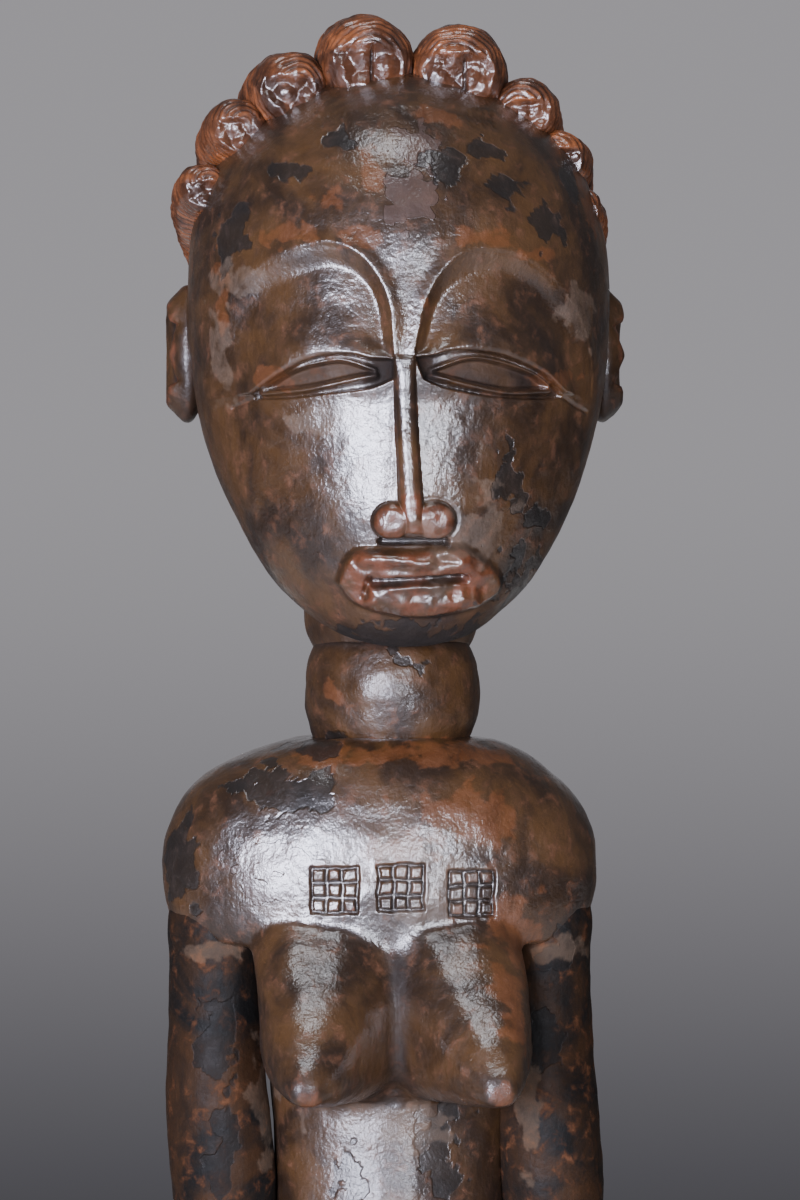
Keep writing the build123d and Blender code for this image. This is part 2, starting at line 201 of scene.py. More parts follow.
# ------------------------------------------------------------------ shape helpers
def ease(value, low=0.0, high=1.0):
    """Smooth step from 0 at low to 1 at high."""
    share = np.clip((value - low) / (high - low), 0.0, 1.0)
    return share * share * (3.0 - 2.0 * share)


def mound(distance, reach):
    """A smooth mound: 1 in the middle and 0 from reach outwards."""
    return 1.0 - ease(np.abs(distance), 0.0, reach)


def curve_through(points, steps=8):
    """A smooth line through a few points, as a denser row of points."""
    knots = np.array(points, float)
    ahead = np.vstack([2 * knots[0] - knots[1], knots, 2 * knots[-1] - knots[-2]])
    line = []
    for start in range(len(knots) - 1):
        a, b, c, d = ahead[start : start + 4]
        for step in range(steps):
            t = step / steps
            bend = (2 * a - 5 * b + 4 * c - d) * t * t + (3 * b - a - 3 * c + d) * t**3
            line.append((2 * b + (c - a) * t + bend) / 2)
    line.append(knots[-1])
    return np.array(line)


def line_distance(places, line):
    """Distance of each place from a line, in its plane."""
    nearest = np.full(len(places), 1e9)
    for start, end in zip(line[:-1], line[1:]):
        along = end - start
        share = ((places - start) @ along) / max(along @ along, 1e-9)
        foot = start + np.clip(share, 0.0, 1.0)[:, None] * along
        nearest = np.minimum(nearest, np.linalg.norm(places - foot, axis=1))
    return nearest


def inside(places, outline):
    """True for each place within a closed outline."""
    x, y = places[:, 0], places[:, 1]
    within = np.zeros(len(places), bool)
    for (x1, y1), (x2, y2) in zip(outline, np.roll(outline, -1, axis=0)):
        if y1 == y2:
            continue
        crosses = (y1 > y) != (y2 > y)
        within ^= crosses & (x < (x2 - x1) * (y - y1) / (y2 - y1) + x1)
    return within


def depth_within(places, outline):
    """How far each place lies inside a closed outline; negative outside."""
    closed = np.vstack([outline, outline[:1]])
    distance = line_distance(places, closed)
    return np.where(inside(places, outline), distance, -distance)


def lattice_hash(cells, seed):
    """A scattered whole number for every cell of a grid."""
    cells = cells.astype(np.int64)
    mixed = cells[..., 0] * 73856093 ^ cells[..., 1] * 19349663 ^ cells[..., 2] * 83492791
    mixed ^= seed * 2654435761
    mixed = (mixed ^ (mixed >> 13)) * 1274126177
    return (mixed ^ (mixed >> 16)) & 0xFFFF


def grain_noise(points, size, seed=0.0, octaves=3):
    """Soft noise between about -1 and 1, with features of the given size."""
    total = np.zeros(len(points))
    for octave in range(octaves):
        spots = points * 2.0**octave / size + seed * 7.31
        corner = np.floor(spots)
        inner = spots - corner
        fade = inner**3 * (inner * (inner * 6 - 15) + 10)
        wave = np.zeros(len(points))
        for step in np.ndindex(2, 2, 2):
            code = lattice_hash(corner + step, octave + 11)
            turn, tilt = (code & 255) * 2 * pi / 256, (code >> 8) / 128 - 1
            flat = np.sqrt(1 - tilt * tilt)
            apart = inner - step
            level = apart[:, 0] * np.cos(turn) * flat + apart[:, 1] * np.sin(turn) * flat
            slope = level + apart[:, 2] * tilt
            wave += slope * np.prod(np.where(step, fade, 1 - fade), axis=1)
        total += wave * 1.5 * 0.5**octave
    return total


def chip_noise(points, size, seed=0.0):
    """Distance to the nearest of scattered seeds: rounded facets that meet at crisp edges, 0 to 1."""
    spots = points / size + seed * 3.77
    corner = np.floor(spots)
    nearest = np.full(len(points), 9.0)
    for step in np.ndindex(3, 3, 3):
        cell = corner + step - 1
        scatter = [lattice_hash(cell, k + 3) / 65536 for k in range(3)]
        apart = cell + np.column_stack(scatter) - spots
        nearest = np.minimum(nearest, np.linalg.norm(apart, axis=1))
    return nearest


def patch(points, centre, reach, seed, ragged=0.8, size=5.0):
    """A ragged patch of the surface round a centre, 1 in its middle and 0 beyond its reach."""
    apart = (points - np.array(centre)) / np.array(reach)
    distance = np.linalg.norm(apart, axis=1)
    near = distance < 1.7
    out = np.zeros(len(points))
    if near.any():
        ragged_edge = distance[near] + ragged * grain_noise(points[near], size, seed, 4)
        out[near] = 1.0 - ease(ragged_edge, 0.62, 1.0)
    return out


# ------------------------------------------------------------------ patina map, with painted shade under the chin
# Ragged patches: centre from the figure's own axes in millimetres, reach, and a seed each.
# Those of the head are counted from its middle and its chin.
HEAD_ORIGIN = np.array([HEAD_X, 0.0, CHIN])
HEAD_PATCHES = {
    "soot_and_shade": [
        ((-34, -23, 81), (5, 9, 7), 1), ((6, -34, 93), (4.5, 8, 4.5), 2),
        ((19, -32, 90), (6, 8, 4), 3), ((28, -29, 82), (4, 8, 5), 4), ((20, -35, 32), (4, 8, 7), 5),
        ((26, -30, 25), (4, 8, 4), 6), ((14, -33, 97), (4, 8, 3), 7), ((-22, -30, 92), (5, 8, 3), 8),
        ((33, -20, 92), (3, 9, 5), 9), ((-13, -32, 99), (4, 8, 3), 10),
        # The next two soot-black patches are painted shadow under the chin and on the figure's left jaw.
        ((0, -31, 0), (26, 16, 6), 11), ((24, -26, 10), (9, 12, 10), 12),
    ],
    "orange": [
        ((-7.5, -34, 93), (2.6, 8, 8), 1), ((-24, -33, 80), (9, 8, 2.6), 2),
        ((-36, -25, 70), (2, 8, 9), 3), ((30, -29, 52.6), (8, 8, 2.4), 4),
        ((14, -38, 79), (7, 8, 2.4), 5), ((-9, -38, 79), (6, 8, 2.6), 6),
        ((-15, -33, 86), (4, 8, 4), 8), ((37, -12, 86), (4, 9, 9), 7),
        ((-27, -33, 52), (5, 8, 2.6), 10), ((2.2, -38, 66.5), (1.4, 6, 1.6), 11),
        ((6, -30, 104), (6, 8, 3), 12), ((24, -30, 76), (6, 8, 2), 13),
    ],
    "flake": [
        ((0.2, -33, 97), (5.5, 9, 6.5), 1), ((0.5, -38, 86), (6, 9, 7), 2),
    ],
    "dust": [
        ((36.5, -21, 58), (1.0, 3, 1.4), 1), ((-32, -25, 72), (6, 9, 4), 2),
        ((33, -24, 66), (5, 9, 6), 3), ((14, -39, 22), (12, 9, 10), 4),
        ((-19, -36, 44), (9, 9, 3), 5), ((-36, -20, 58), (3, 9, 9), 6),
    ],
}
BODY_PATCHES = {
    "soot_and_shade": [
        ((-24, -18, 266), (13, 12, 6), 1), ((-35, -11, 216), (5, 8, 9), 2),
        ((-33, -11, 194), (4, 8, 8), 3), ((30, -11, 216), (5, 8, 8), 4),
        ((33, -11, 232), (4, 9, 6), 5), ((-41, -6, 250), (5, 9, 10), 6),
        ((-15, -12, 275), (9, 9, 3), 8), ((9, -18, 196), (7, 8, 12), 9),
        ((-30, 6, 240), (12, 12, 20), 10), ((20, 20, 255), (14, 9, 10), 11),
        ((-10, -20, 190), (4, 8, 8), 12),
    ],
    "orange": [
        ((16, -23, 261), (17, 10, 7), 1), ((1, -25, 254), (8, 8, 4), 2),
        ((-11, -8, 284), (3.6, 8, 3.6), 3), ((-24.5, -18, 265.5), (1.8, 8, 1.8), 4),
        ((-18.8, -44, 208), (3.4, 6, 3.4), 5), ((18.8, -44, 208), (3.4, 6, 3.4), 6),
        ((24, -20, 236), (7, 10, 12), 7), ((-8, -12, 272), (14, 10, 3), 9),
        ((14, -12, 273), (14, 10, 3), 10), ((22, -30, 222), (4, 9, 14), 12),
    ],
    "flake": [
        ((-25, -20, 250), (8, 9, 7), 1),
    ],
    "dust": [
        ((-25, -6, 204), (3, 12, 14), 1), ((27, -6, 204), (3, 12, 14), 2),
        ((0, -18, 200), (18, 9, 5), 3), ((-36, -10, 234), (8, 9, 3), 4),
        ((34, -10, 234), (8, 9, 3), 5), ((6, -24, 246), (10, 9, 8), 6),
    ],
}


def paint_surface(piece, points, **layers):
    """Lays the patina's patches, and the painted shadow among them, on a piece, with any further layers
    given for it.
    """
    for name in ("soot_and_shade", "orange", "flake", "dust"):
        amount = np.zeros(len(points))
        for origin, patches in ((HEAD_ORIGIN, HEAD_PATCHES), (np.zeros(3), BODY_PATCHES)):
            for centre, reach, seed in patches[name]:
                amount = np.maximum(amount, patch(points, origin + centre, reach, seed))
        layers.setdefault(name, amount)
    sides = ease(np.abs(read_normals(piece)[:, 0]), 0.62, 0.93)
    layers["matt"] = np.maximum(layers.get("matt", 0.0), 0.85 * sides)
    paint(piece, **layers)


# ------------------------------------------------------------------ head
# Share of the head's height from chin to crown, then of its half width,
# and how far its front and its back lie, in half depths
EGG_STATIONS = np.array(
    [
        (0.0, 0.0, -0.56, -0.56),
        (0.016, 0.26, -0.69, -0.3),
        (0.06, 0.455, -0.84, 0.08),
        (0.115, 0.605, -0.925, 0.36),
        (0.21, 0.765, -0.985, 0.64),
        (0.38, 0.94, -1.0, 0.9),
        (0.55, 1.0, -1.0, 1.0),
        (0.72, 0.975, -0.95, 0.97),
        (0.84, 0.85, -0.8, 0.85),
        (0.93, 0.6, -0.56, 0.6),
        (0.985, 0.3, -0.28, 0.3),
        (1.0, 0.0, 0.0, 0.0),
    ]
)

# The carved lines of the face: distance from the head's middle, then height above the chin
BROW_RIGHT = [(-3.8, 56.3), (-5, 67), (-9.1, 74.3), (-14.8, 77.7), (-21.4, 77.2), (-29.5, 73.4),
              (-35, 66.5), (-37.5, 57.5), (-37.6, 49)]
BROW_LEFT = [(0.4, 57.2), (2.9, 67), (6.7, 73), (12.2, 76.6), (21.3, 76), (29.6, 70.5),
             (35.1, 62), (36.8, 55), (36.6, 49)]
LEDGE_RIGHT = [(-3.8, 55.6), (-8.2, 55.7), (-12, 56.4), (-17.3, 56.2), (-21.5, 54.9), (-26.4, 52.2),
               (-30.3, 49.3)]
LEDGE_LEFT = [(0.6, 56), (4, 56.3), (7.2, 57.1), (12.1, 57.2), (18.1, 56.4), (25.6, 53.4),
              (30.5, 49.8)]
LID_RIGHT = [(-7.3, 53.2), (-13.5, 55.2), (-18.6, 54.7), (-23.3, 53.3), (-28.9, 50)]
LID_LEFT = [(3.7, 53.2), (11.1, 55.6), (17.1, 55.1), (24.3, 53), (28, 50.6)]
LOWER_LID_RIGHT = [(-7.3, 53.2), (-13, 52.1), (-20.5, 50.6), (-28.9, 50)]
LOWER_LID_LEFT = [(3.7, 53.2), (11.1, 51.4), (19.1, 50.1), (28, 50.6)]
GROOVE_RIGHT = [(-3.8, 51.9), (-8.6, 50), (-16.7, 49.1), (-23.9, 48.3), (-30.4, 48.3)]
GROOVE_LEFT = [(2.3, 51.8), (7.2, 50), (17.1, 48.5), (27.4, 48.3), (30.8, 48.9)]
CHEEK_LINES = [[(-30.4, 48.3), (-34.5, 46.6)], [(30.8, 48.9), (35.8, 46.2)]]
FACE_EDGE = [(-37.7, 60), (-37.6, 48), (-33.4, 32.8), (-22.7, 11.2), (0, 2.5), (22.1, 12),
             (32.7, 29), (36.6, 48), (37.2, 60)]
LIPS = [(-14.9, 12.4), (-13.6, 16.6), (-10.6, 19.3), (-4, 19.4), (3, 19.4), (9, 20.2), (13.6, 18.2),
        (18.4, 14.4), (18.2, 10.8), (12.9, 7.3), (4, 5.3), (-4, 5.7), (-11.2, 8.2), (-14.9, 12.4)]
MOUTH = [(-7.3, 12.6), (0, 12.9), (5, 13.2), (10.3, 13.6)]
# How far a swelling of the lips rises, the line it follows and its half width
LIP_SWELLINGS = [
    (1.3, [(-9.0, 17.0), (-4, 17.2), (3.4, 16.4)], 2.0),
    (1.3, [(6.4, 18.4), (9.2, 16.8), (5.6, 15.0)], 2.2),
    (0.9, [(-7.2, 9.2), (2, 8.3), (11.6, 9.8)], 2.6),
]
# Height above the chin, the nose's middle, its half width and how far it stands out
NOSE_STATIONS = np.array(
    [
        (13, 2.0, 2.5, 3.0),
        (21, 0.6, 2.5, 3.1),
        (26, -0.2, 2.4, 3.5),
        (40, -1.1, 2.2, 2.7),
        (50, -1.5, 2.1, 1.9),
        (56, -1.7, 2.1, 1.0),
    ]
)
# Middle, height above the chin, half width, half height and how far each nostril stands out
NOSTRILS = [(-4.0, 24.4, 4.0, 3.8, 3.3), (4.3, 24.5, 4.3, 3.9, 3.1)]
BROW_MARKS = [(-14.4, 102.6), (1.3, 103.8), (14.7, 103.4)]


def rounded(share, stations):
    """Cubic interpolation through a table, in the angle that makes both poles round."""
    angle = np.arccos(1 - 2 * stations[:, 0])
    at = np.arccos(1 - 2 * np.clip(share, 0, 1))
    columns = []
    for values in stations[:, 1:].T:
        slopes = np.gradient(values, angle)
        index = np.clip(np.searchsorted(angle, at) - 1, 0, len(angle) - 2)
        width = angle[index + 1] - angle[index]
        t = (at - angle[index]) / width
        rise = (1 + 2 * t) * (1 - t) ** 2 * values[index] + t * (1 - t) ** 2 * width * slopes[index]
        fall = t * t * (3 - 2 * t) * values[index + 1] + t * t * (t - 1) * width * slopes[index + 1]
        columns.append(rise + fall)
    return columns


def egg(ball):
    """Places of the smooth egg for directions on a unit ball."""
    share = (1 + ball[:, 2]) / 2
    wide, front, back = rounded(share, EGG_STATIONS)
    level = np.maximum(np.linalg.norm(ball[:, :2], axis=1), 1e-9)
    middle = (front + back) / 2 * HEAD_HALF_DEEP
    half = (back - front) / 2 * HEAD_HALF_DEEP
    return np.column_stack(
        [
            HEAD_X + HEAD_HALF_WIDE * wide * ball[:, 0] / level,
            middle + half * ball[:, 1] / level,
            CHIN + HEAD_TALL * share,
        ]
    )


def eye_relief(places, brow, ledge, lid, lower_lid, groove):
    """Height of one eye socket, and how much of it lies in the socket and in the eye's trough."""
    brow, ledge, lid, lower_lid, groove = map(curve_through, (brow, ledge, lid, lower_lid, groove))
    in_socket = ease(depth_within(places, np.vstack([brow, ledge[::-1]])), -0.25, 0.25)
    in_trough = ease(depth_within(places, np.vstack([ledge, groove[::-1]])), -0.3, 0.3)
    from_brow = line_distance(places, brow)
    toward_ledge = from_brow / (from_brow + line_distance(places, ledge) + 1e-6)
    # Beside the nose the brow is cut steeply; further out it runs into the lid softly
    softness = 2.3 + 2.9 * ease(np.abs(places[:, 0] + 1.7), 5, 17)
    hollow = -2.5 * ease(from_brow / softness) * (1 - toward_ledge) ** 1.3
    socket = hollow + 1.0 * ease(toward_ledge, 0.45, 0.9) - 0.35 * ease(toward_ledge, 0.93, 1.0)
    almond = depth_within(places, np.vstack([lid, lower_lid[::-1]]))
    inner = 1 - ease(np.abs(places[:, 0] + 1.7), 3.0, 8.5)
    trough = -2.6 - 0.9 * inner + 1.5 * mound(line_distance(places, lid + (0, 0.35)), 0.75)
    trough += 1.9 * mound(line_distance(places, lower_lid - (0, 0.75)), 1.15)
    trough += -0.9 * ease(almond, 0.0, 0.5) + 0.3 * ease(almond, 0.6, 3.0)
    return socket, trough, in_socket, in_trough, ease(almond, 0.0, 0.6)


def nose_relief(across, height):
    """Height of the narrow nose and its two round nostrils above the cheeks."""
    levels, *columns = NOSE_STATIONS.T
    middle, half, stand = (np.interp(height, levels, column) for column in columns)
    aside = np.abs(across - middle)
    ridge = stand * np.sqrt(np.clip(1 - (aside / half) ** 2, 0, 1)) ** 0.8
    ridge *= ease(height, 20.6, 22.5) * (1 - ease(height, 55.4, 56.4))
    side_grooves = mound(aside - half - 0.35, 0.8) * ease(height, 26, 30) * (1 - ease(height, 52, 56))
    relief = ridge - 0.9 * side_grooves
    for x, z, half_wide, half_high, reach in NOSTRILS:
        radius = ((across - x) / half_wide) ** 2 + ((height - z) / half_high) ** 2
        ball = reach * np.sqrt(np.clip(1 - radius**1.7, 0, 1))
        relief = np.maximum(relief, ball * ease(height, 20.7, 21.2))
        rim = mound(np.sqrt(radius) - 1.1, 0.16) * ease(height, 21, 22)
        relief -= 0.2 * rim * (ball < 0.05) * (ridge < 0.5)
    under = mound(height - 20.4, 0.9) * (1 - ease(np.abs(across - 0.4), 6.3, 7.6))
    return relief - 1.9 * under


def lip_relief(points, places):
    """Height of the rough, knife-cut lips and how much of each point belongs to them."""
    depth = depth_within(places, curve_through(LIPS, 6))
    body = ease(depth, -0.2, 1.7)
    relief = 2.2 * body
    for rise, line, reach in LIP_SWELLINGS:
        relief += rise * mound(line_distance(places, curve_through(line)), reach)
    relief -= 3.0 * mound(line_distance(places, curve_through(MOUTH)), 1.15)
    relief -= 1.6 * mound(line_distance(places, np.array([(-8.0, 13.4), (-8.9, 10.4)])), 1.0)
    near = depth > -1.0
    cuts = np.zeros(len(points))
    cuts[near] = 1.35 * (chip_noise(points[near] * (0.8, 1.0, 1.0), 4.3, 3.0) - 0.5)
    cuts[near] += 0.35 * (chip_noise(points[near], 1.9, 5.0) - 0.5)
    return relief + cuts * body, body


def brow_mark_relief(places):
    """Three small panels of upright bars, cut high on the forehead."""
    relief = np.zeros(len(places))
    for x, z in BROW_MARKS:
        across, up = places[:, 0] - x, places[:, 1] - z
        panel = (1 - ease(np.abs(across), 2.7, 3.2)) * (1 - ease(np.abs(up), 1.6, 2.1))
        bars = 0.5 + 0.5 * np.cos(across * 2 * pi / 1.55)
        relief += panel * (0.55 * bars - 0.5 + 0.3 * mound(up + 1.1, 0.7))
    return relief


def carve_head():
    """An egg refined where the knife worked finely, then carved vertex by vertex."""
    deselect()
    bpy.ops.mesh.primitive_uv_sphere_add(segments=130, ring_count=98, radius=1.0)
    piece = finish_primitive("head")

    def on_face(c, low, high, half):
        ball = c * MM
        ball = ball / np.linalg.norm(ball, axis=1)[:, None]
        places = egg(ball)
        height = places[:, 2] - CHIN
        level = (height > low) & (height < high)
        return (places[:, 1] < -4) & level & (np.abs(places[:, 0] - HEAD_X) < half)

    def fine_zones(c):
        eyes = on_face(c, 45.5, 60.0, 38.0)
        nose = on_face(c, 27.0, 62.0, 4.4)
        nostrils = on_face(c, 19.0, 29.5, 9.5)
        return eyes | nose | nostrils

    refine(piece, lambda c: on_face(c, 1.0, 108.0, 41.0))
    refine(piece, lambda c: on_face(c, 4.0, 80.0, 39.5))
    refine(piece, fine_zones)

    ball = read_points(piece) * MM
    ball = ball / np.linalg.norm(ball, axis=1)[:, None]
    points = egg(ball)
    write_points(piece, points)
    outward = read_normals(piece)
    across = points[:, 0] - HEAD_X
    height = points[:, 2] - CHIN
    places = np.column_stack([across, height])
    front = ease(-points[:, 1], 2.0, 12.0)
    face = points[:, 1] < -1.0

    relief = np.zeros(len(points))
    lips = np.zeros(len(points))
    almonds = np.zeros(len(points))
    corners = np.zeros(len(points))
    spots = places[face]
    cheek_depth = depth_within(spots, curve_through(FACE_EDGE))
    carved = -1.1 * ease(cheek_depth, -0.6, 3.2) * (1 - ease(spots[:, 1], 46, 54))
    for lines in (
        (BROW_RIGHT, LEDGE_RIGHT, LID_RIGHT, LOWER_LID_RIGHT, GROOVE_RIGHT),
        (BROW_LEFT, LEDGE_LEFT, LID_LEFT, LOWER_LID_LEFT, GROOVE_LEFT),
    ):
        socket, trough, in_socket, in_trough, almond = eye_relief(spots, *lines)
        inner_corner = in_trough * (1 - ease(np.abs(spots[:, 0] + 1.7), 5.5, 9.0))
        almonds[face] = np.maximum(almonds[face], almond)
        corners[face] = np.maximum(corners[face], inner_corner)
        in_trough = in_trough * (1 - in_socket)
        beside = 1 - ease(np.abs(spots[:, 0] + 1.7), 9, 24)
        rim = mound(line_distance(spots, curve_through(lines[0])), 3.2) * (0.35 + 0.65 * beside)
        carved = carved * (1 - in_socket - in_trough) + socket * in_socket + trough * in_trough
        carved += 0.8 * rim * (1 - in_socket) * (1 - in_trough)
    for line in CHEEK_LINES:
        carved -= 0.5 * mound(line_distance(spots, np.array(line)), 0.6)
    carved += nose_relief(spots[:, 0], spots[:, 1])
    lip_height, lips[face] = lip_relief(points[face], spots)
    carved += lip_height + brow_mark_relief(spots)
    relief[face] = carved
    tip = (np.abs(spots[:, 0] - 0.2) < 9) & (np.abs(spots[:, 1] - 24.6) < 4.5)
    facets = 0.7 * (chip_noise(points[face] * (1.0, 1.0, 0.8), 3.2, 9.0) - 0.5)
    relief[face] += facets * tip * ease(relief[face], 0.8, 2.4)
    relief *= front

    unevenness = 0.32 * grain_noise(points, 16.0, 2.0) + 0.07 * grain_noise(points, 4.0, 7.0)
    towards = outward * 0.55 + np.array([0.0, -0.45, 0.0]) * front[:, None]
    towards /= np.linalg.norm(towards, axis=1)[:, None]
    points = points + towards * relief[:, None] + outward * unevenness[:, None]
    write_points(piece, points)
    shade_smooth(piece)

    # Painted shade: the deepest cuts of the eye sockets, the inner eye corners, the line under the
    # nostrils, the mouth slit and the underside of the chin are darkened; the eyes get a darker tone too.
    under_nose = mound(height - 20.3, 1.3) * (1 - ease(np.abs(across - 0.4), 6.6, 7.8)) * front
    mouth = mound(line_distance(places, curve_through(MOUTH)), 1.5) * front
    cavity = np.maximum(ease(-relief, 1.9, 3.0) * (1 - almonds), np.maximum(under_nose, 0.8 * mouth))
    cavity = np.maximum(cavity, np.maximum(0.42 * almonds, 0.85 * corners))
    jaw = (1 - ease(height, 5.0, 17.0)) * (1 - lips)
    cavity = np.maximum(cavity, 0.5 * (1 - ease(height, 2.0, 9.0)))
    nose_tip = (1 - ease(np.abs(height - 24.6), 4.4, 5.6)) * (1 - ease(np.abs(across), 8.6, 9.4))
    proud = nose_tip * ease(relief, 0.2, 1.4) * front
    lips *= 0.55 + 0.35 * grain_noise(points, 5.0, 4.0)
    worn = np.clip(np.maximum(lips, 0.6 * proud), 0, 1)
    matt = np.maximum(np.maximum(jaw, almonds), corners)
    paint_surface(piece, points, cavity=cavity, worn=worn, matt=matt)
    stand_for(piece, "patina", bpy.data.materials["wood_patina"], "head", "brow_marks")


# ------------------------------------------------------------------ ears
def carve_ears():
    """Two C-shaped ears in relief, with a bead at the front."""
    for side, node in ((-1, "ear_right"), (1, "ear_left")):
        low, high = box_mm(node)
        centre = (low + high) / 2
        half = (high - low) / 2
        deselect()
        bpy.ops.mesh.primitive_uv_sphere_add(
            segments=96, ring_count=72, radius=1.0, rotation=(0, pi / 2, 0)
        )
        piece = finish_primitive(node)
        bpy.ops.object.transform_apply(location=False, rotation=True, scale=False)
        ball = read_points(piece) * MM
        y, z = ball[:, 1], ball[:, 2]
        radius = np.sqrt(y * y + z * z)
        out = side * ball[:, 0] > 0
        rim = 1.2 * mound(radius - 0.72, 0.26) * ease(y + 0.9 * (np.abs(z) > 0.45), -0.45, 0.1)
        hollow = -1.7 * (1 - ease(np.hypot(y + 0.12, z * 0.9), 0.3, 0.62))
        bead = 1.9 * mound(np.hypot(y + 0.5, z), 0.3)
        notches = -0.7 * mound(np.abs(z) - 0.42, 0.16) * mound(y + 0.62, 0.4)
        points = centre + ball * half * (1.0, 1.02, 1.02)
        points[:, 0] += side * out * (rim + hollow + bead + notches)
        points += 0.25 * grain_noise(points, 5.0, 3.0)[:, None] * ball
        write_points(piece, points)
        shade_smooth(piece)
        worn = 0.45 * out * mound(radius - 0.72, 0.2)
        paint_surface(piece, points, worn=worn, cavity=out * ease(-hollow, 0.6, 1.6), matt=0.7)
        stand_for(piece, "patina", bpy.data.materials["wood_patina"], node)


# ------------------------------------------------------------------ coiffure
# Front end of each braided tress, counted from the head's middle and its chin, and its radius
TRESSES = {
    "tress_1_right": ((-7.0, -8.5, 115.8), 9.4),
    "tress_1_left": ((11.4, -8.5, 114.0), 9.5),
    "tress_2_right": ((-22.1, -8.0, 110.3), 7.7),
    "tress_2_left": ((24.6, -8.0, 106.2), 6.7),
    "tress_3_right": ((-32.6, -7.0, 102.4), 6.1),
    "tress_3_left": ((31.6, -7.0, 97.0), 5.8),
    "tress_4_right": ((-39.2, -6.0, 90.6), 5.2),
    "tress_4_left": ((35.8, -6.0, 86.6), 4.8),
}
# Direction from the skull's heart to where the tresses gather
NAPE = np.array([0.0, 0.9, -0.42])
BUN_RING_PITCH = 1.7


def turn_between(start, end, share):
    """Direction part of the way round from one direction to another."""
    angle = np.arccos(np.clip(start @ end, -1, 1))
    return (start * sin((1 - share) * angle) + end * sin(share * angle)) / sin(angle)


def tress_line(front, radius, skull, steps=60):
    """Middle line of a tress: from its front end over the skull to the nape."""
    sink = abs(front[0]) / 40 * (0.4 if front[0] < 0 else 0.8)
    start = HEAD_ORIGIN + front - SKULL_HEART
    lift = np.linalg.norm(start)
    start = start / lift
    end = NAPE / np.linalg.norm(NAPE)
    line = []
    for step in range(steps + 1):
        share = step / steps
        toward = turn_between(start, end, share)
        hit = skull.ray_cast(Vector((SKULL_HEART + toward * 90) * MM), Vector(-toward))[0]
        if hit is None:
            raise RuntimeError("a tress runs off the skull")
        bone = np.linalg.norm(np.array(hit) / MM - SKULL_HEART)
        settled = bone + radius * (0.1 + 0.12 * share - sink)
        reach = lift + (settled - lift) * ease(share, 0.0, 0.22)
        line.append(SKULL_HEART + toward * reach)
    return np.array(line)


def carve_tress(name, front, radius, skull):
    """One braided tress: a tapering roll cut across by fine rings, with a chipped front end."""
    settings = bpy.context.scene.figure_settings
    pitch, depth = settings.ring_pitch / MM, settings.ring_depth / MM
    line = tress_line(front, radius, skull)
    steps = np.linalg.norm(np.diff(line, axis=0), axis=1)
    along = np.concatenate([[0.0], np.cumsum(steps)])
    length = along[-1] * 0.93
    deselect()
    bpy.ops.mesh.primitive_uv_sphere_add(segments=100, ring_count=int(length / 0.29), radius=1.0)
    piece = finish_primitive(name)
    ball = read_points(piece) * MM

    # The ball's height runs along the line: its top cap is the rounded front end
    dome = radius * pi / 2
    polar = np.arccos(np.clip(ball[:, 2], -1, 1)) / pi
    travel = polar * (length + dome)
    opening = np.clip(travel / radius, 0, pi / 2)
    run = travel - dome
    back = np.where(run < 0, -radius * np.cos(opening), 0.0)
    tail = 1 - 0.45 * ease(run, 0.25 * length, length)
    close = np.sqrt(np.clip((length - run) / (radius * 0.5), 0, 1))
    girth = radius * np.sin(opening) * tail * close

    on_line = np.clip(run, 0, length)
    middle = np.column_stack([np.interp(on_line, along, line[:, k]) for k in range(3)])
    ahead = np.column_stack([np.interp(on_line + 1.5, along, line[:, k]) for k in range(3)])
    behind = np.column_stack([np.interp(on_line - 1.5, along, line[:, k]) for k in range(3)])
    forward = ahead - behind
    forward /= np.linalg.norm(forward, axis=1)[:, None]
    up = middle - SKULL_HEART
    up -= forward * np.sum(up * forward, axis=1)[:, None]
    up /= np.linalg.norm(up, axis=1)[:, None]
    aside = np.cross(forward, up)
    turn = np.arctan2(ball[:, 1], ball[:, 0])
    round_way = aside * np.cos(turn)[:, None] + up * np.sin(turn)[:, None]
    outward = round_way * np.sin(opening)[:, None] - forward * np.cos(opening)[:, None]
    start = middle + round_way * girth[:, None] + forward * back[:, None]

    # Rings cut across the roll, finest over its front
    wander = 0.35 * grain_noise(start, 9.0, radius)
    ring = 0.5 + 0.5 * np.cos((travel + wander) * 2 * pi / pitch)
    faint = 0.35 + 0.65 * ease(grain_noise(start, 6.0, radius + 2), -0.4, 0.2)
    low_front = ease(-(start[:, 1] - start[:, 1].min()), -0.75 * radius, -0.25 * radius)
    low_front *= ease(line[0][2] + 0.25 * radius - start[:, 2], -0.12 * radius, 0.12 * radius)
    grooves = -depth * ease(ring, 0.35, 1.0) * faint * (1 - low_front)
    waves = 0.45 * grain_noise(start, 5.0, radius + 5)
    points = start + outward * (grooves + waves)[:, None]

    # Knife facets flatten the lower front
    facets = chip_noise(start, radius * 0.42, radius)
    flat = start[:, 1].min() + 0.3 * radius + radius * 0.3 * (facets - 0.5)
    slit = mound(start[:, 0] - line[0][0] - 0.8, 0.5) * (radius > 8.0)
    flat += 0.9 * slit + 0.2 * grain_noise(start, 1.4, 4.0)
    points[:, 1] += low_front * np.maximum(flat - points[:, 1], 0)
    write_points(piece, points)
    shade_smooth(piece)
    worn = np.clip(0.42 + 0.55 * grain_noise(points, 7.0, radius + 9), 0, 1) * (1 - 0.7 * low_front)
    cavity = ease(-grooves, depth * 0.3, depth) * 0.85 + low_front * (0.25 + 0.6 * slit)
    paint_surface(piece, points, worn=worn, cavity=np.clip(cavity, 0, 1))
    stand_for(piece, "coiffure", bpy.data.materials["wood_coiffure"], name)


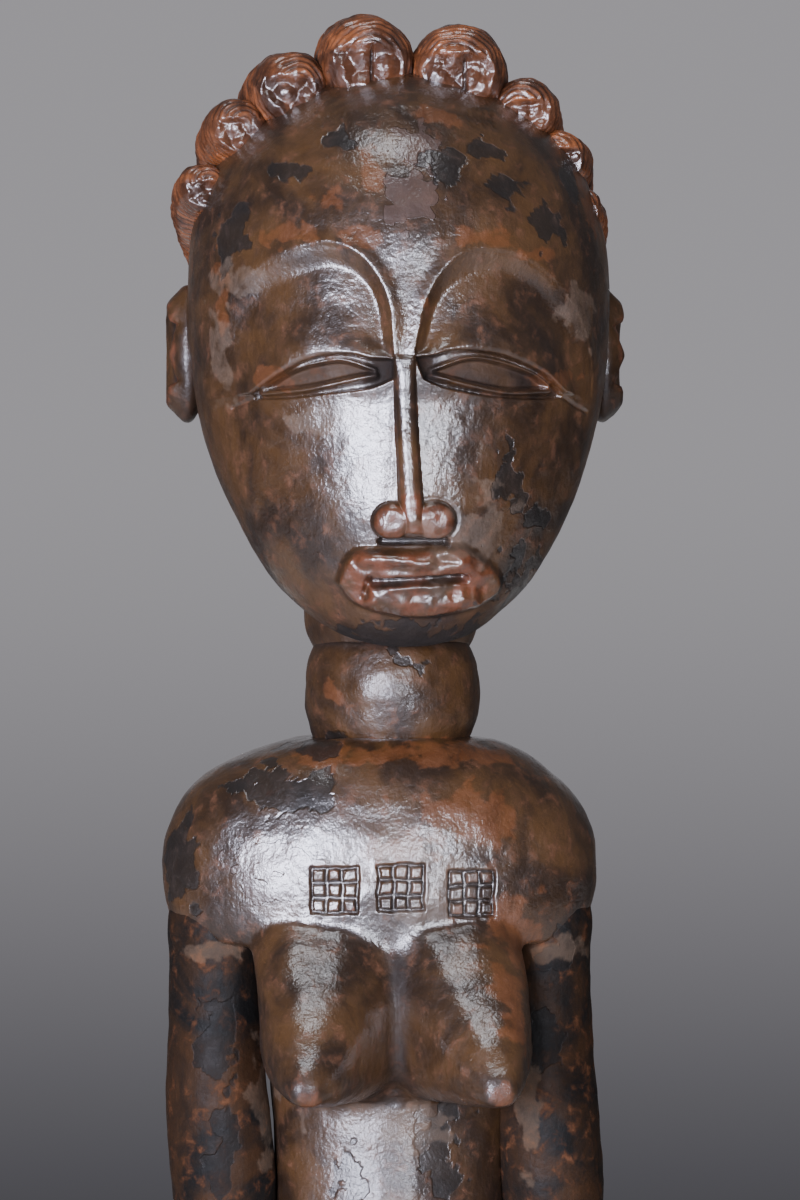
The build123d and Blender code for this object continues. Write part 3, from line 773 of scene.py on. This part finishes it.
def carve_coiffure():
    """Eight tresses swept back over the skull and the bun that gathers them."""
    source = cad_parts["head"].data
    places = [v.co.copy() for v in source.vertices]
    faces = [tuple(f.vertices) for f in source.polygons]
    skull = BVHTree.FromPolygons(places, faces)
    for name, (front, radius) in TRESSES.items():
        carve_tress(name, np.array(front), radius, skull)

    centre = (BUN_LOW + BUN_HIGH) / 2
    half = (BUN_HIGH - BUN_LOW) / 2
    deselect()
    bpy.ops.mesh.primitive_uv_sphere_add(segments=128, ring_count=96, radius=1.0)
    piece = finish_primitive("hair_bun")
    ball = read_points(piece) * MM
    points = centre + ball * half * (1.0, 1.0, 0.97)
    level = points[:, 2] + 0.4 * grain_noise(points, 8.0, 1.0)
    ring = 0.5 + 0.5 * np.cos(level * 2 * pi / BUN_RING_PITCH)
    points -= ball * (0.4 * ease(ring, 0.4, 1.0) * (1 - np.abs(ball[:, 2]) ** 6))[:, None]
    points += ball * (0.4 * grain_noise(points, 6.0, 2.0))[:, None]
    write_points(piece, points)
    shade_smooth(piece)
    paint_surface(piece, points, worn=0.5, cavity=0.7 * ease(ring, 0.5, 1.0))
    stand_for(piece, "coiffure", bpy.data.materials["wood_coiffure"], "hair_bun")


# ------------------------------------------------------------------ neck
# How narrow a ring is at its foot and top, as a share of its widest
NECK_PINCH = 0.9


def turned(name, profile, segments=144, rings=96):
    """A closed turned shape: its ball's heights run along a profile of radius and height shares."""
    low, high = box_mm(name)
    deselect()
    bpy.ops.mesh.primitive_uv_sphere_add(segments=segments, ring_count=rings, radius=1.0)
    piece = finish_primitive(name)
    ball = read_points(piece) * MM
    corners = np.array(profile, float)
    radius = (high[0] - low[0]) / 2
    corners = corners * (radius, high[2] - low[2])
    steps = np.linalg.norm(np.diff(corners, axis=0), axis=1)
    run = np.concatenate([[0.0], np.cumsum(steps)])
    share = 1 - np.arccos(np.clip(ball[:, 2], -1, 1)) / pi
    wide = np.interp(share * run[-1], run, corners[:, 0])
    tall = np.interp(share * run[-1], run, corners[:, 1])
    level = np.maximum(np.linalg.norm(ball[:, :2], axis=1), 1e-9)
    middle = (low + high) / 2
    points = np.column_stack(
        [
            middle[0] + wide * ball[:, 0] / level,
            (low[1] + radius) + wide * ball[:, 1] / level,
            low[2] + tall,
        ]
    )
    return piece, points


def barrel(pinch, over=0.06, steps=24):
    """Profile of a swollen ring, from the middle of its foot to the middle of its top."""
    profile = [(0.0, -over), (pinch * 0.97, -over)]
    for step in range(steps + 1):
        share = step / steps
        swell = pinch + (1 - pinch) * sin(pi * share) ** 0.8
        profile.append((swell, share))
    return profile + [(pinch * 0.97, 1 + over), (0.0, 1 + over)]


def carve_neck():
    """Two swollen rings, one upon the other."""
    for name in ("neck_ring_lower", "neck_ring_upper"):
        piece, points = turned(name, barrel(NECK_PINCH))
        write_points(piece, points)
        outward = read_normals(piece)
        waves = 0.45 * grain_noise(points, 11.0, 4.0) + 0.1 * grain_noise(points, 4.0, 6.0)
        points += outward * waves[:, None]
        write_points(piece, points)
        shade_smooth(piece)
        share = (points[:, 2] - points[:, 2].min()) / np.ptp(points[:, 2])
        worn = 0.7 * mound(share - 0.02, 0.08)
        # Each ring is painted darker towards its top.
        paint_surface(piece, points, worn=worn, cavity=mound(share - 1.0, 0.12))
        stand_for(piece, "patina", bpy.data.materials["wood_patina_soft"], name)


# ------------------------------------------------------------------ body
CHEST_MARKS = [(-12.0, 246.4), (1.1, 246.9), (15.1, 245.6)]
# The shoulders and arms sit a little to the figure's right of the trunk
YOKE_SHIFT = -1.5


def fused(name, voxel, smoothing, *nodes, swell=None):
    """CAD masses, with a swelling at a centre and of a size, grown together into one carved mass."""
    piece = copy_of_nodes(name, *nodes)
    if swell:
        centre, half = swell
        deselect()
        bpy.ops.mesh.primitive_uv_sphere_add(
            segments=64, ring_count=48, radius=1.0, location=centre * MM
        )
        ball = bpy.context.object
        ball.scale = half * MM
        piece.select_set(True)
        bpy.context.view_layer.objects.active = piece
        bpy.ops.object.join()
    piece.data.remesh_voxel_size = voxel * MM
    piece.data.remesh_voxel_adaptivity = 0.0
    bpy.ops.object.voxel_remesh()
    apply_modifier(piece, "SMOOTH", factor=0.5, iterations=smoothing)
    return piece


def weather(points, outward, strength=1.0, seed=0.0):
    """Hand-carved unevenness: broad waves and smaller dents."""
    broad = 0.4 * grain_noise(points, 15.0, 3.0 + seed)
    small = 0.1 * grain_noise(points, 4.0, 8.0 + seed)
    return points + outward * ((broad + small) * strength)[:, None]


def chest_mark_relief(points):
    """Three square panels of raised blocks, three rows of three, cut by hand."""
    relief = np.zeros(len(points))
    wobble = 0.35 * grain_noise(points, 3.5, 2.0, 2)
    for x, z in CHEST_MARKS:
        across, up = points[:, 0] - x + wobble, points[:, 2] - z + wobble
        border = (1 - ease(np.abs(across), 4.4, 4.9)) * (1 - ease(np.abs(up), 4.4, 4.9))
        from_groove = np.minimum(*(1.5 - np.abs((way + 4.5) % 3.0 - 1.5) for way in (across, up)))
        blocks = ease(from_groove, 0.2, 0.62)
        uneven = 0.45 * grain_noise(np.round((points - (x, 0, z)) / 3.0), 1.7, x)
        relief += border * (blocks * (1.15 + uneven) - 1.0)
    return relief * (points[:, 1] < -12)


# The tip of a breast: how far out, how far forward and how high
TIP = np.array([18.8, -45.0, 209.0])


def carve_torso():
    """Shoulders, trunk, breasts and hips as one carved mass."""
    nodes = ("shoulders", "trunk", "hips", "breast_right", "breast_left", "navel")
    piece = fused("torso", 0.95, 9, *nodes)

    def chest(c):
        return (c[:, 1] < -10) & (np.abs(c[:, 0] - 1) < 21) & (c[:, 2] > 240) & (c[:, 2] < 253)

    def between_breasts(c):
        return (c[:, 1] < -17) & (np.abs(c[:, 0]) < 6) & (c[:, 2] > 200) & (c[:, 2] < 241)

    soften(piece, lambda c: (c[:, 1] > -9) | (c[:, 2] < 180), 30)
    soften(piece, between_breasts, 26)
    refine(piece, chest)
    refine(piece, chest)
    points = read_points(piece)
    outward = read_normals(piece)
    points = weather(points, outward)
    points[:, 0] += YOKE_SHIFT * ease(points[:, 2], 222, 240) * (1 - ease(points[:, 2], 268, 276))
    marks = chest_mark_relief(points)
    points += outward * marks[:, None]
    write_points(piece, points)
    shade_smooth(piece)
    # Painted shade darkens the valley between the breasts; the grooves of the chest marks and the nipples
    # are darkened too.
    valley = mound(points[:, 0] - 0.3, 3.2) * ease(-points[:, 1], 18, 22)
    valley *= 1 - ease(points[:, 2], 232, 240)
    cavity = np.maximum(ease(-marks, 0.3, 1.0), 0.8 * valley)
    from_tip = np.linalg.norm((np.abs(points[:, 0]), points[:, 1], points[:, 2]) - TIP[:, None], axis=0)
    tips = mound(from_tip, 6.0)
    cavity = np.maximum(cavity, 0.25 * tips)
    worn = np.maximum(0.45 * ease(marks, 0.0, 0.3), 0.4 * tips)
    belly = 0.6 * (1 - ease(points[:, 2], 203, 209)) * ease(-points[:, 1], 8, 14)
    matt = np.maximum(np.maximum(belly, tips), valley)
    paint_surface(piece, points, cavity=cavity, worn=worn, matt=matt)
    stand_for(piece, "patina", bpy.data.materials["wood_patina"], *nodes, "chest_marks")


def carve_arms():
    """Two arms with their forearms and hands."""
    for side in ("right", "left"):
        nodes = (f"upper_arm_{side}", f"forearm_{side}")
        low, high = box_mm(nodes[0])
        top = np.array([(low[0] + high[0]) / 2, (low[1] + high[1]) / 2, high[2]])
        half = np.array([(high[0] - low[0]) * 0.46, (high[1] - low[1]) * 0.46, 14.0])
        piece = fused(f"arm_{side}", 0.7, 14, *nodes, swell=(top, half))
        soften(piece, lambda c: (np.abs(c[:, 0]) < 22) & (c[:, 1] < -16), 22)
        points = weather(read_points(piece), read_normals(piece), 0.8, 1.0)
        points[:, 0] += YOKE_SHIFT * ease(points[:, 2], 180, 215)
        write_points(piece, points)
        shade_smooth(piece)
        paint_surface(piece, points, cavity=0.0, worn=0.0)
        stand_for(piece, "patina", bpy.data.materials["wood_patina_dull"], *nodes)


def carve_legs():
    """Two bent legs with their feet."""
    for side in ("right", "left"):
        nodes = (f"leg_{side}", f"foot_{side}")
        piece = fused(f"leg_and_foot_{side}", 0.8, 16, *nodes)
        soften(piece, lambda c: c[:, 2] < 33, 30)
        points = weather(read_points(piece), read_normals(piece), 0.8, 2.0)
        write_points(piece, points)
        shade_smooth(piece)
        paint_surface(piece, points, cavity=0.0, worn=0.0)
        stand_for(piece, "patina", bpy.data.materials["wood_patina_soft"], *nodes)


def carve_base():
    """A round base with softened, worn edges."""
    profile = [(0.0, 0.0), (0.955, 0.0), (0.985, 0.03), (1.0, 0.1)]
    profile += [(0.955, 0.86), (0.945, 0.94), (0.915, 1.0), (0.0, 1.0)]
    piece, points = turned("base", profile, 192, 120)
    write_points(piece, points)
    outward = read_normals(piece)
    above = ease(points[:, 2], 0.5, 3.0)
    points = points + outward * (above * 0.35 * grain_noise(points, 13.0, 6.0))[:, None]
    points[:, 2] = np.maximum(points[:, 2], 0.0)
    write_points(piece, points)
    shade_smooth(piece)
    from_middle = np.hypot(points[:, 0], points[:, 1])
    rim = mound(points[:, 2] - points[:, 2].max(), 2.5) * ease(from_middle, 32, 37)
    paint_surface(piece, points, worn=0.8 * rim, cavity=0.0)
    stand_for(piece, "base_wood", bpy.data.materials["wood_base"], "base")


# ------------------------------------------------------------------ finishes
class Finish:
    """A small pen for drawing a material's nodes."""

    def __init__(self, name):
        self.material = bpy.data.materials.new(name)
        self.material.use_nodes = True
        self.tree = self.material.node_tree
        self.tree.nodes.clear()
        self.place = self.node("ShaderNodeTexCoord").outputs["Object"]

    def node(self, kind, **settings):
        made = self.tree.nodes.new(kind)
        for key, value in settings.items():
            setattr(made, key, value)
        return made

    def feed(self, socket, source):
        if hasattr(source, "is_output"):
            self.tree.links.new(source, socket)
        else:
            socket.default_value = source

    def stretched(self, scale):
        """Object coordinates with a scale of their own along each axis."""
        mapping = self.node("ShaderNodeMapping")
        self.feed(mapping.inputs["Vector"], self.place)
        mapping.inputs["Scale"].default_value = scale
        return mapping.outputs["Vector"]

    def grain(self, size_mm, detail=4.0, rough=0.55, warp=0.0, along=None):
        """Noise with features of about this size."""
        made = self.node("ShaderNodeTexNoise")
        self.feed(made.inputs["Vector"], along or self.place)
        made.inputs["Scale"].default_value = 1 / (size_mm * MM) if along is None else 1.0
        made.inputs["Detail"].default_value = detail
        made.inputs["Roughness"].default_value = rough
        made.inputs["Distortion"].default_value = warp
        return made.outputs["Fac"]

    def layer(self, name):
        """A layer painted on the vertices."""
        return self.node("ShaderNodeAttribute", attribute_name=name).outputs["Fac"]

    def sum(self, kind, first, second, clamp=False):
        made = self.node("ShaderNodeMath", operation=kind, use_clamp=clamp)
        self.feed(made.inputs[0], first)
        self.feed(made.inputs[1], second)
        return made.outputs[0]

    def step(self, source, low, high, out_low=0.0, out_high=1.0):
        """Smooth step of a number between two levels."""
        made = self.node("ShaderNodeMapRange", interpolation_type="SMOOTHSTEP")
        self.feed(made.inputs["Value"], source)
        made.inputs["From Min"].default_value = low
        made.inputs["From Max"].default_value = high
        made.inputs["To Min"].default_value = out_low
        made.inputs["To Max"].default_value = out_high
        return made.outputs["Result"]

    def blend(self, amount, under, over):
        """One colour laid over another."""
        made = self.node("ShaderNodeMix", data_type="RGBA")
        self.feed(made.inputs["Factor"], amount)
        for socket, colour in ((made.inputs[6], under), (made.inputs[7], over)):
            self.feed(socket, colour if hasattr(colour, "is_output") else (*colour, 1.0))
        return made.outputs[2]

    def bump(self, height, depth_mm, under=None):
        made = self.node("ShaderNodeBump")
        self.feed(made.inputs["Height"], height)
        made.inputs["Strength"].default_value = 1.0
        made.inputs["Distance"].default_value = depth_mm * MM
        if under is not None:
            self.feed(made.inputs["Normal"], under)
        return made.outputs["Normal"]


def carved_wood(name, dark, middle, worn_colour, gloss=0.38, shine=1.0, sheen=0.3):
    """Oiled, handled wood: mottled brown under soot, worn spots, a lifted crust, dust and scratches, with
    painted shade in its hollows and under the chin.

    gloss is the roughness of the wood itself, shine how much of the oiled coat it has, and sheen
    how strongly the bare wood mirrors.
    """
    settings = bpy.context.scene.figure_settings
    pen = Finish(name)
    clouds = pen.grain(14.0, 6.0, 0.6, 0.6)
    mottle = pen.grain(3.2, 5.0, 0.6, 0.3)
    fine = pen.grain(0.8, 3.0, 0.6)
    streaks = pen.grain(1.0, 5.0, 0.65, 0.2, pen.stretched((1100, 1100, 110)))

    colour = pen.blend(pen.step(clouds, 0.36, 0.66), dark, middle)
    speckle = pen.step(mottle, 0.5, 0.72, 0.0, 0.55)
    colour = pen.blend(speckle, colour, settings.reddish)
    colour = pen.blend(pen.step(streaks, 0.5, 0.75, 0.0, 0.35), colour, dark)

    def ragged(layer, low, high, spread=0.9):
        edge = pen.sum("MULTIPLY", pen.sum("SUBTRACT", mottle, 0.5), spread)
        return pen.step(pen.sum("ADD", pen.layer(layer), edge), low, high)

    orange = ragged("orange", 0.15, 1.1, 2.6)
    colour = pen.blend(pen.sum("MULTIPLY", orange, 0.46), colour, settings.orange_wood)
    worn = ragged("worn", 0.2, 1.0, 1.6)
    colour = pen.blend(worn, colour, worn_colour)
    flake = ragged("flake", 0.4, 0.5, 0.6)
    colour = pen.blend(pen.sum("MULTIPLY", flake, 0.6), colour, settings.crust)
    # Black soot, and painted shadow under the chin and on the figure's left jaw.
    soot_and_shade = ragged("soot_and_shade", 0.3, 0.75, 1.5)
    colour = pen.blend(pen.sum("MULTIPLY", soot_and_shade, 0.8), colour, settings.soot_and_shade)
    dust = ragged("dust", 0.2, 1.1, 2.4)
    colour = pen.blend(pen.sum("MULTIPLY", dust, 0.32), colour, settings.dust)
    # Darkens the grooves and paints shade in the recesses, under the nose and chin and between the
    # breasts.
    cavity = pen.layer("cavity")
    colour = pen.blend(pen.sum("MULTIPLY", cavity, 0.8), colour, settings.cavity)

    rough = pen.step(mottle, 0.3, 0.75, gloss - 0.07, gloss + 0.16)
    rough = pen.sum("ADD", rough, pen.sum("MULTIPLY", dust, 0.2))
    rough = pen.sum("ADD", rough, pen.sum("MULTIPLY", cavity, 0.25))
    matt = pen.layer("matt")
    rough = pen.sum("ADD", rough, pen.sum("MULTIPLY", matt, 0.2))
    coat = pen.sum("MULTIPLY", pen.sum("SUBTRACT", 1.0, matt), settings.polish * shine)

    height = pen.sum("ADD", pen.sum("MULTIPLY", streaks, 0.25), pen.sum("MULTIPLY", fine, 0.6))
    normal = pen.bump(pen.sum("ADD", height, pen.sum("MULTIPLY", mottle, 0.9)), 0.17)
    crust_edges = pen.sum("ADD", pen.sum("MULTIPLY", flake, 0.5), pen.sum("MULTIPLY", soot_and_shade, -0.35))
    normal = pen.bump(crust_edges, 0.35, normal)

    shader = pen.node("ShaderNodeBsdfPrincipled")
    pen.feed(shader.inputs["Base Color"], colour)
    pen.feed(shader.inputs["Roughness"], rough)
    pen.feed(shader.inputs["Normal"], normal)
    pen.feed(shader.inputs["Coat Normal"], normal)
    shader.inputs["Specular IOR Level"].default_value = sheen
    pen.feed(shader.inputs["Coat Weight"], coat)
    shader.inputs["Coat Roughness"].default_value = 0.2
    shader.inputs["Coat IOR"].default_value = 1.65
    result = pen.node("ShaderNodeOutputMaterial")
    pen.feed(result.inputs["Surface"], shader.outputs["BSDF"])
    return pen.material


def mix_finishes():
    """The woods of the figure's pieces."""
    settings = bpy.context.scene.figure_settings
    dark, middle, red = settings.wood_dark, settings.wood_middle, settings.worn_red
    carved_wood("wood_patina", dark, middle, red)
    carved_wood(
        "wood_patina_dull", settings.soot_and_shade, settings.wood_dull, red, gloss=0.55, shine=0.0, sheen=0.08
    )
    carved_wood("wood_patina_soft", dark, middle, red, gloss=0.42, shine=0.26)
    carved_wood(
        "wood_coiffure", settings.hair_dark, settings.hair_middle, settings.hair_worn, gloss=0.3, shine=0.8
    )
    carved_wood("wood_base", dark, middle, red, gloss=0.44, shine=0.3)


# ------------------------------------------------------------------ stage
VIEW_AZIMUTH = radians(-4.0)
VIEW_DISTANCE = 1.05
VIEW_TALL = 0.240
VIEW_CENTRE = Vector((0.0024, 0.0, 0.3032))


def aim(holder, target):
    """Turns a camera or lamp to look at a place."""
    holder.rotation_euler = (target - holder.location).to_track_quat("-Z", "Y").to_euler()


def set_camera():
    """A long lens straight in front of the figure, a little to its right."""
    data = bpy.data.cameras.new("camera")
    camera = bpy.data.objects.new("camera", data)
    bpy.context.collection.objects.link(camera)
    camera.location = VIEW_CENTRE + VIEW_DISTANCE * Vector((sin(VIEW_AZIMUTH), -cos(VIEW_AZIMUTH), 0.0))
    aim(camera, VIEW_CENTRE)
    data.sensor_fit = "VERTICAL"
    data.sensor_height = 36.0
    data.sensor_width = 36.0
    data.lens = data.sensor_height * VIEW_DISTANCE / VIEW_TALL
    bpy.context.scene.camera = camera


# Azimuth and elevation in degrees, distance and size in metres, share of the window's power, colour
LAMPS = {
    "window": (-24, 1, 1.4, (0.66, 0.4), 1.0, (0.79, 0.81, 1.0)),
    "second_window": (13, 2, 1.4, (0.14, 0.4), 0.26, (0.84, 0.87, 1.0)),
    "skylight": (-12, 72, 1.4, (0.4, 0.3), 0.08, (0.90, 0.93, 1.0)),
    "back": (177, 10, 1.5, (1.3, 0.6), 0.5, (1.0, 0.99, 0.97)),
}
FLOOR_RADIUS = 1.2


def hang_softbox(name, azimuth, elevation, distance, size, power, colour):
    """A soft lamp that looks at the figure."""
    data = bpy.data.lights.new(name, "AREA")
    data.shape = "RECTANGLE"
    data.size, data.size_y = size
    data.energy = power
    data.color = colour
    lamp = bpy.data.objects.new(name, data)
    bpy.context.collection.objects.link(lamp)
    a, e = radians(azimuth), radians(elevation)
    away = Vector((sin(a) * cos(e), -cos(a) * cos(e), sin(e)))
    lamp.location = VIEW_CENTRE + away * distance
    aim(lamp, VIEW_CENTRE)
    # The lamp behind only fills the shadows: its mirror image would rim the whole outline in white
    lamp.visible_glossy = name != "back"


def light_world():
    """A grey studio, paler above than below, and brightest behind the figure."""
    world = bpy.data.worlds.new("studio")
    bpy.context.scene.world = world
    world.use_nodes = True
    tree = world.node_tree
    tree.nodes.clear()
    direction = tree.nodes.new("ShaderNodeTexCoord")
    split = tree.nodes.new("ShaderNodeSeparateXYZ")
    tree.links.new(direction.outputs["Generated"], split.inputs[0])

    def between(socket, low, high, out_low, out_high):
        made = tree.nodes.new("ShaderNodeMapRange")
        made.interpolation_type = "SMOOTHSTEP"
        made.inputs["From Min"].default_value = low
        made.inputs["From Max"].default_value = high
        made.inputs["To Min"].default_value = out_low
        made.inputs["To Max"].default_value = out_high
        tree.links.new(split.outputs[socket], made.inputs["Value"])
        return made.outputs["Result"]

    ramp = tree.nodes.new("ShaderNodeValToRGB")
    background = tree.nodes.new("ShaderNodeBackground")
    output = tree.nodes.new("ShaderNodeOutputWorld")
    tree.links.new(between("Z", -0.15, 0.04, 0.0, 1.0), ramp.inputs["Fac"])
    tree.links.new(ramp.outputs["Color"], background.inputs["Color"])
    tree.links.new(between("Y", 0.75, 0.97, 0.3, 1.0), background.inputs["Strength"])
    tree.links.new(background.outputs[0], output.inputs[0])
    ramp.color_ramp.elements[0].color = (0.050, 0.049, 0.058, 1.0)
    ramp.color_ramp.elements[1].color = (0.34, 0.33, 0.35, 1.0)


def set_stage():
    """Plain pale floor, soft studio light and the camera."""
    deselect()
    bpy.ops.mesh.primitive_circle_add(vertices=96, radius=FLOOR_RADIUS, fill_type="NGON")
    floor = finish_primitive("floor")
    pen = Finish("floor")
    shader = pen.node("ShaderNodeBsdfPrincipled")
    tone = pen.blend(pen.grain(60.0, 3.0), (0.34, 0.335, 0.33), (0.38, 0.375, 0.37))
    pen.feed(shader.inputs["Base Color"], tone)
    shader.inputs["Roughness"].default_value = 0.7
    result = pen.node("ShaderNodeOutputMaterial")
    pen.feed(result.inputs["Surface"], shader.outputs["BSDF"])
    floor.data.materials.append(pen.material)
    light_world()
    power = bpy.context.scene.figure_settings.key_power
    for name, (azimuth, elevation, distance, size, share, colour) in LAMPS.items():
        hang_softbox(name, azimuth, elevation, distance, size, power * share, colour)
    set_camera()


# ------------------------------------------------------------------ add-on
def colour_setting(name, description, default):
    """A colour that a user can change."""
    return bpy.props.FloatVectorProperty(
        name=name, description=description, default=default, subtype="COLOR", size=3, min=0.0, max=1.0
    )


class FigureSettings(bpy.types.PropertyGroup):
    """Sizes and colours that a user would change."""

    ring_pitch: bpy.props.FloatProperty(
        name="Ring pitch", description="Distance between the rings cut round a tress",
        default=1.55 * MM, unit="LENGTH", precision=5,
    )
    ring_depth: bpy.props.FloatProperty(
        name="Ring depth", description="Depth of the rings cut round a tress",
        default=0.42 * MM, unit="LENGTH", precision=5,
    )
    polish: bpy.props.FloatProperty(
        name="Polish", description="Strength of the oiled coat",
        default=1.0, min=0.0, max=1.0, subtype="FACTOR",
    )
    key_power: bpy.props.FloatProperty(
        name="Window power", description="Power of the main soft light",
        default=62.0, min=0.0, unit="POWER",
    )
    wood_dark: colour_setting("Dark wood", "Shaded tone of the patina", (0.014, 0.0068, 0.0032))
    wood_middle: colour_setting("Wood", "Middle tone of the patina", (0.048, 0.0220, 0.0072))
    wood_dull: colour_setting("Dull wood", "Middle tone of unpolished wood", (0.026, 0.0125, 0.0058))
    reddish: colour_setting("Reddish wood", "Tone of the small speckle", (0.068, 0.025, 0.0095))
    orange_wood: colour_setting("Orange wood", "Wood under a thin crust", (0.115, 0.037, 0.0105))
    worn_red: colour_setting("Worn wood", "Red-brown wood rubbed bare", (0.092, 0.0255, 0.0088))
    crust: colour_setting("Crust", "Smooth crust that lies over the wood", (0.052, 0.032, 0.026))
    # This black is also painted as shadow under the chin and jaw.
    soot_and_shade: colour_setting("Soot", "Black patches", (0.006, 0.0055, 0.005))
    dust: colour_setting("Dust", "Pale dust in the corners", (0.115, 0.078, 0.052))
    # This dark also paints shade in the recesses, under the nose and chin and between the breasts.
    cavity: colour_setting("Grooves", "Dirt in the grooves", (0.006, 0.0035, 0.0025))
    hair_dark: colour_setting("Dark coiffure", "Shaded tone of the tresses", (0.030, 0.011, 0.005))
    hair_middle: colour_setting("Coiffure", "Middle tone of the tresses", (0.095, 0.032, 0.012))
    hair_worn: colour_setting("Worn coiffure", "Rubbed tone of the tresses", (0.175, 0.055, 0.018))


class FIGURE_OT_finishes(bpy.types.Operator):
    """Make the woods of the figure"""

    bl_idname = "figure.finishes"
    bl_label = "Mix finishes"

    def execute(self, context):
        mix_finishes()
        return {"FINISHED"}


class FIGURE_OT_head(bpy.types.Operator):
    """Carve the head and its face"""

    bl_idname = "figure.head"
    bl_label = "Carve head"

    def execute(self, context):
        carve_head()
        return {"FINISHED"}


class FIGURE_OT_ears(bpy.types.Operator):
    """Carve both ears"""

    bl_idname = "figure.ears"
    bl_label = "Carve ears"

    def execute(self, context):
        carve_ears()
        return {"FINISHED"}


class FIGURE_OT_coiffure(bpy.types.Operator):
    """Carve the tresses and the bun"""

    bl_idname = "figure.coiffure"
    bl_label = "Carve coiffure"

    def execute(self, context):
        carve_coiffure()
        return {"FINISHED"}


class FIGURE_OT_neck(bpy.types.Operator):
    """Carve the rings of the neck"""

    bl_idname = "figure.neck"
    bl_label = "Carve neck"

    def execute(self, context):
        carve_neck()
        return {"FINISHED"}


class FIGURE_OT_torso(bpy.types.Operator):
    """Carve shoulders, trunk, breasts and hips"""

    bl_idname = "figure.torso"
    bl_label = "Carve torso"

    def execute(self, context):
        carve_torso()
        return {"FINISHED"}


class FIGURE_OT_arms(bpy.types.Operator):
    """Carve both arms with their hands"""

    bl_idname = "figure.arms"
    bl_label = "Carve arms"

    def execute(self, context):
        carve_arms()
        return {"FINISHED"}


class FIGURE_OT_legs(bpy.types.Operator):
    """Carve both legs with their feet"""

    bl_idname = "figure.legs"
    bl_label = "Carve legs"

    def execute(self, context):
        carve_legs()
        return {"FINISHED"}


class FIGURE_OT_base(bpy.types.Operator):
    """Carve the round base"""

    bl_idname = "figure.base"
    bl_label = "Carve base"

    def execute(self, context):
        carve_base()
        return {"FINISHED"}


class FIGURE_OT_stage(bpy.types.Operator):
    """Lay the floor, hang the lights and set the camera"""

    bl_idname = "figure.stage"
    bl_label = "Set stage"

    def execute(self, context):
        set_stage()
        return {"FINISHED"}


OPERATORS = [
    FIGURE_OT_finishes,
    FIGURE_OT_head,
    FIGURE_OT_ears,
    FIGURE_OT_coiffure,
    FIGURE_OT_neck,
    FIGURE_OT_torso,
    FIGURE_OT_arms,
    FIGURE_OT_legs,
    FIGURE_OT_base,
    FIGURE_OT_stage,
]


class FIGURE_PT_workshop(bpy.types.Panel):
    """Lists the figure's settings and its operators."""

    bl_label = "Carved Figure"
    bl_idname = "FIGURE_PT_workshop"
    bl_space_type = "VIEW_3D"
    bl_region_type = "UI"
    bl_category = "Figure"

    def draw(self, context):
        settings = context.scene.figure_settings
        for name in FigureSettings.__annotations__:
            self.layout.prop(settings, name)
        for operator in OPERATORS:
            self.layout.operator(operator.bl_idname)


CLASSES = [FigureSettings, *OPERATORS, FIGURE_PT_workshop]


def register():
    """Adds the figure's classes and its settings."""
    for cls in CLASSES:
        bpy.utils.register_class(cls)
    bpy.types.Scene.figure_settings = bpy.props.PointerProperty(type=FigureSettings)


def unregister():
    """Takes them away again."""
    del bpy.types.Scene.figure_settings
    for cls in reversed(CLASSES):
        bpy.utils.unregister_class(cls)


def main():
    """Carves the whole figure and sets the stage."""
    register()
    bpy.ops.figure.finishes()
    bpy.ops.figure.head()
    bpy.ops.figure.ears()
    bpy.ops.figure.coiffure()
    bpy.ops.figure.neck()
    bpy.ops.figure.torso()
    bpy.ops.figure.arms()
    bpy.ops.figure.legs()
    bpy.ops.figure.base()
    bpy.ops.figure.stage()


if __name__ == "__main__":
    main()
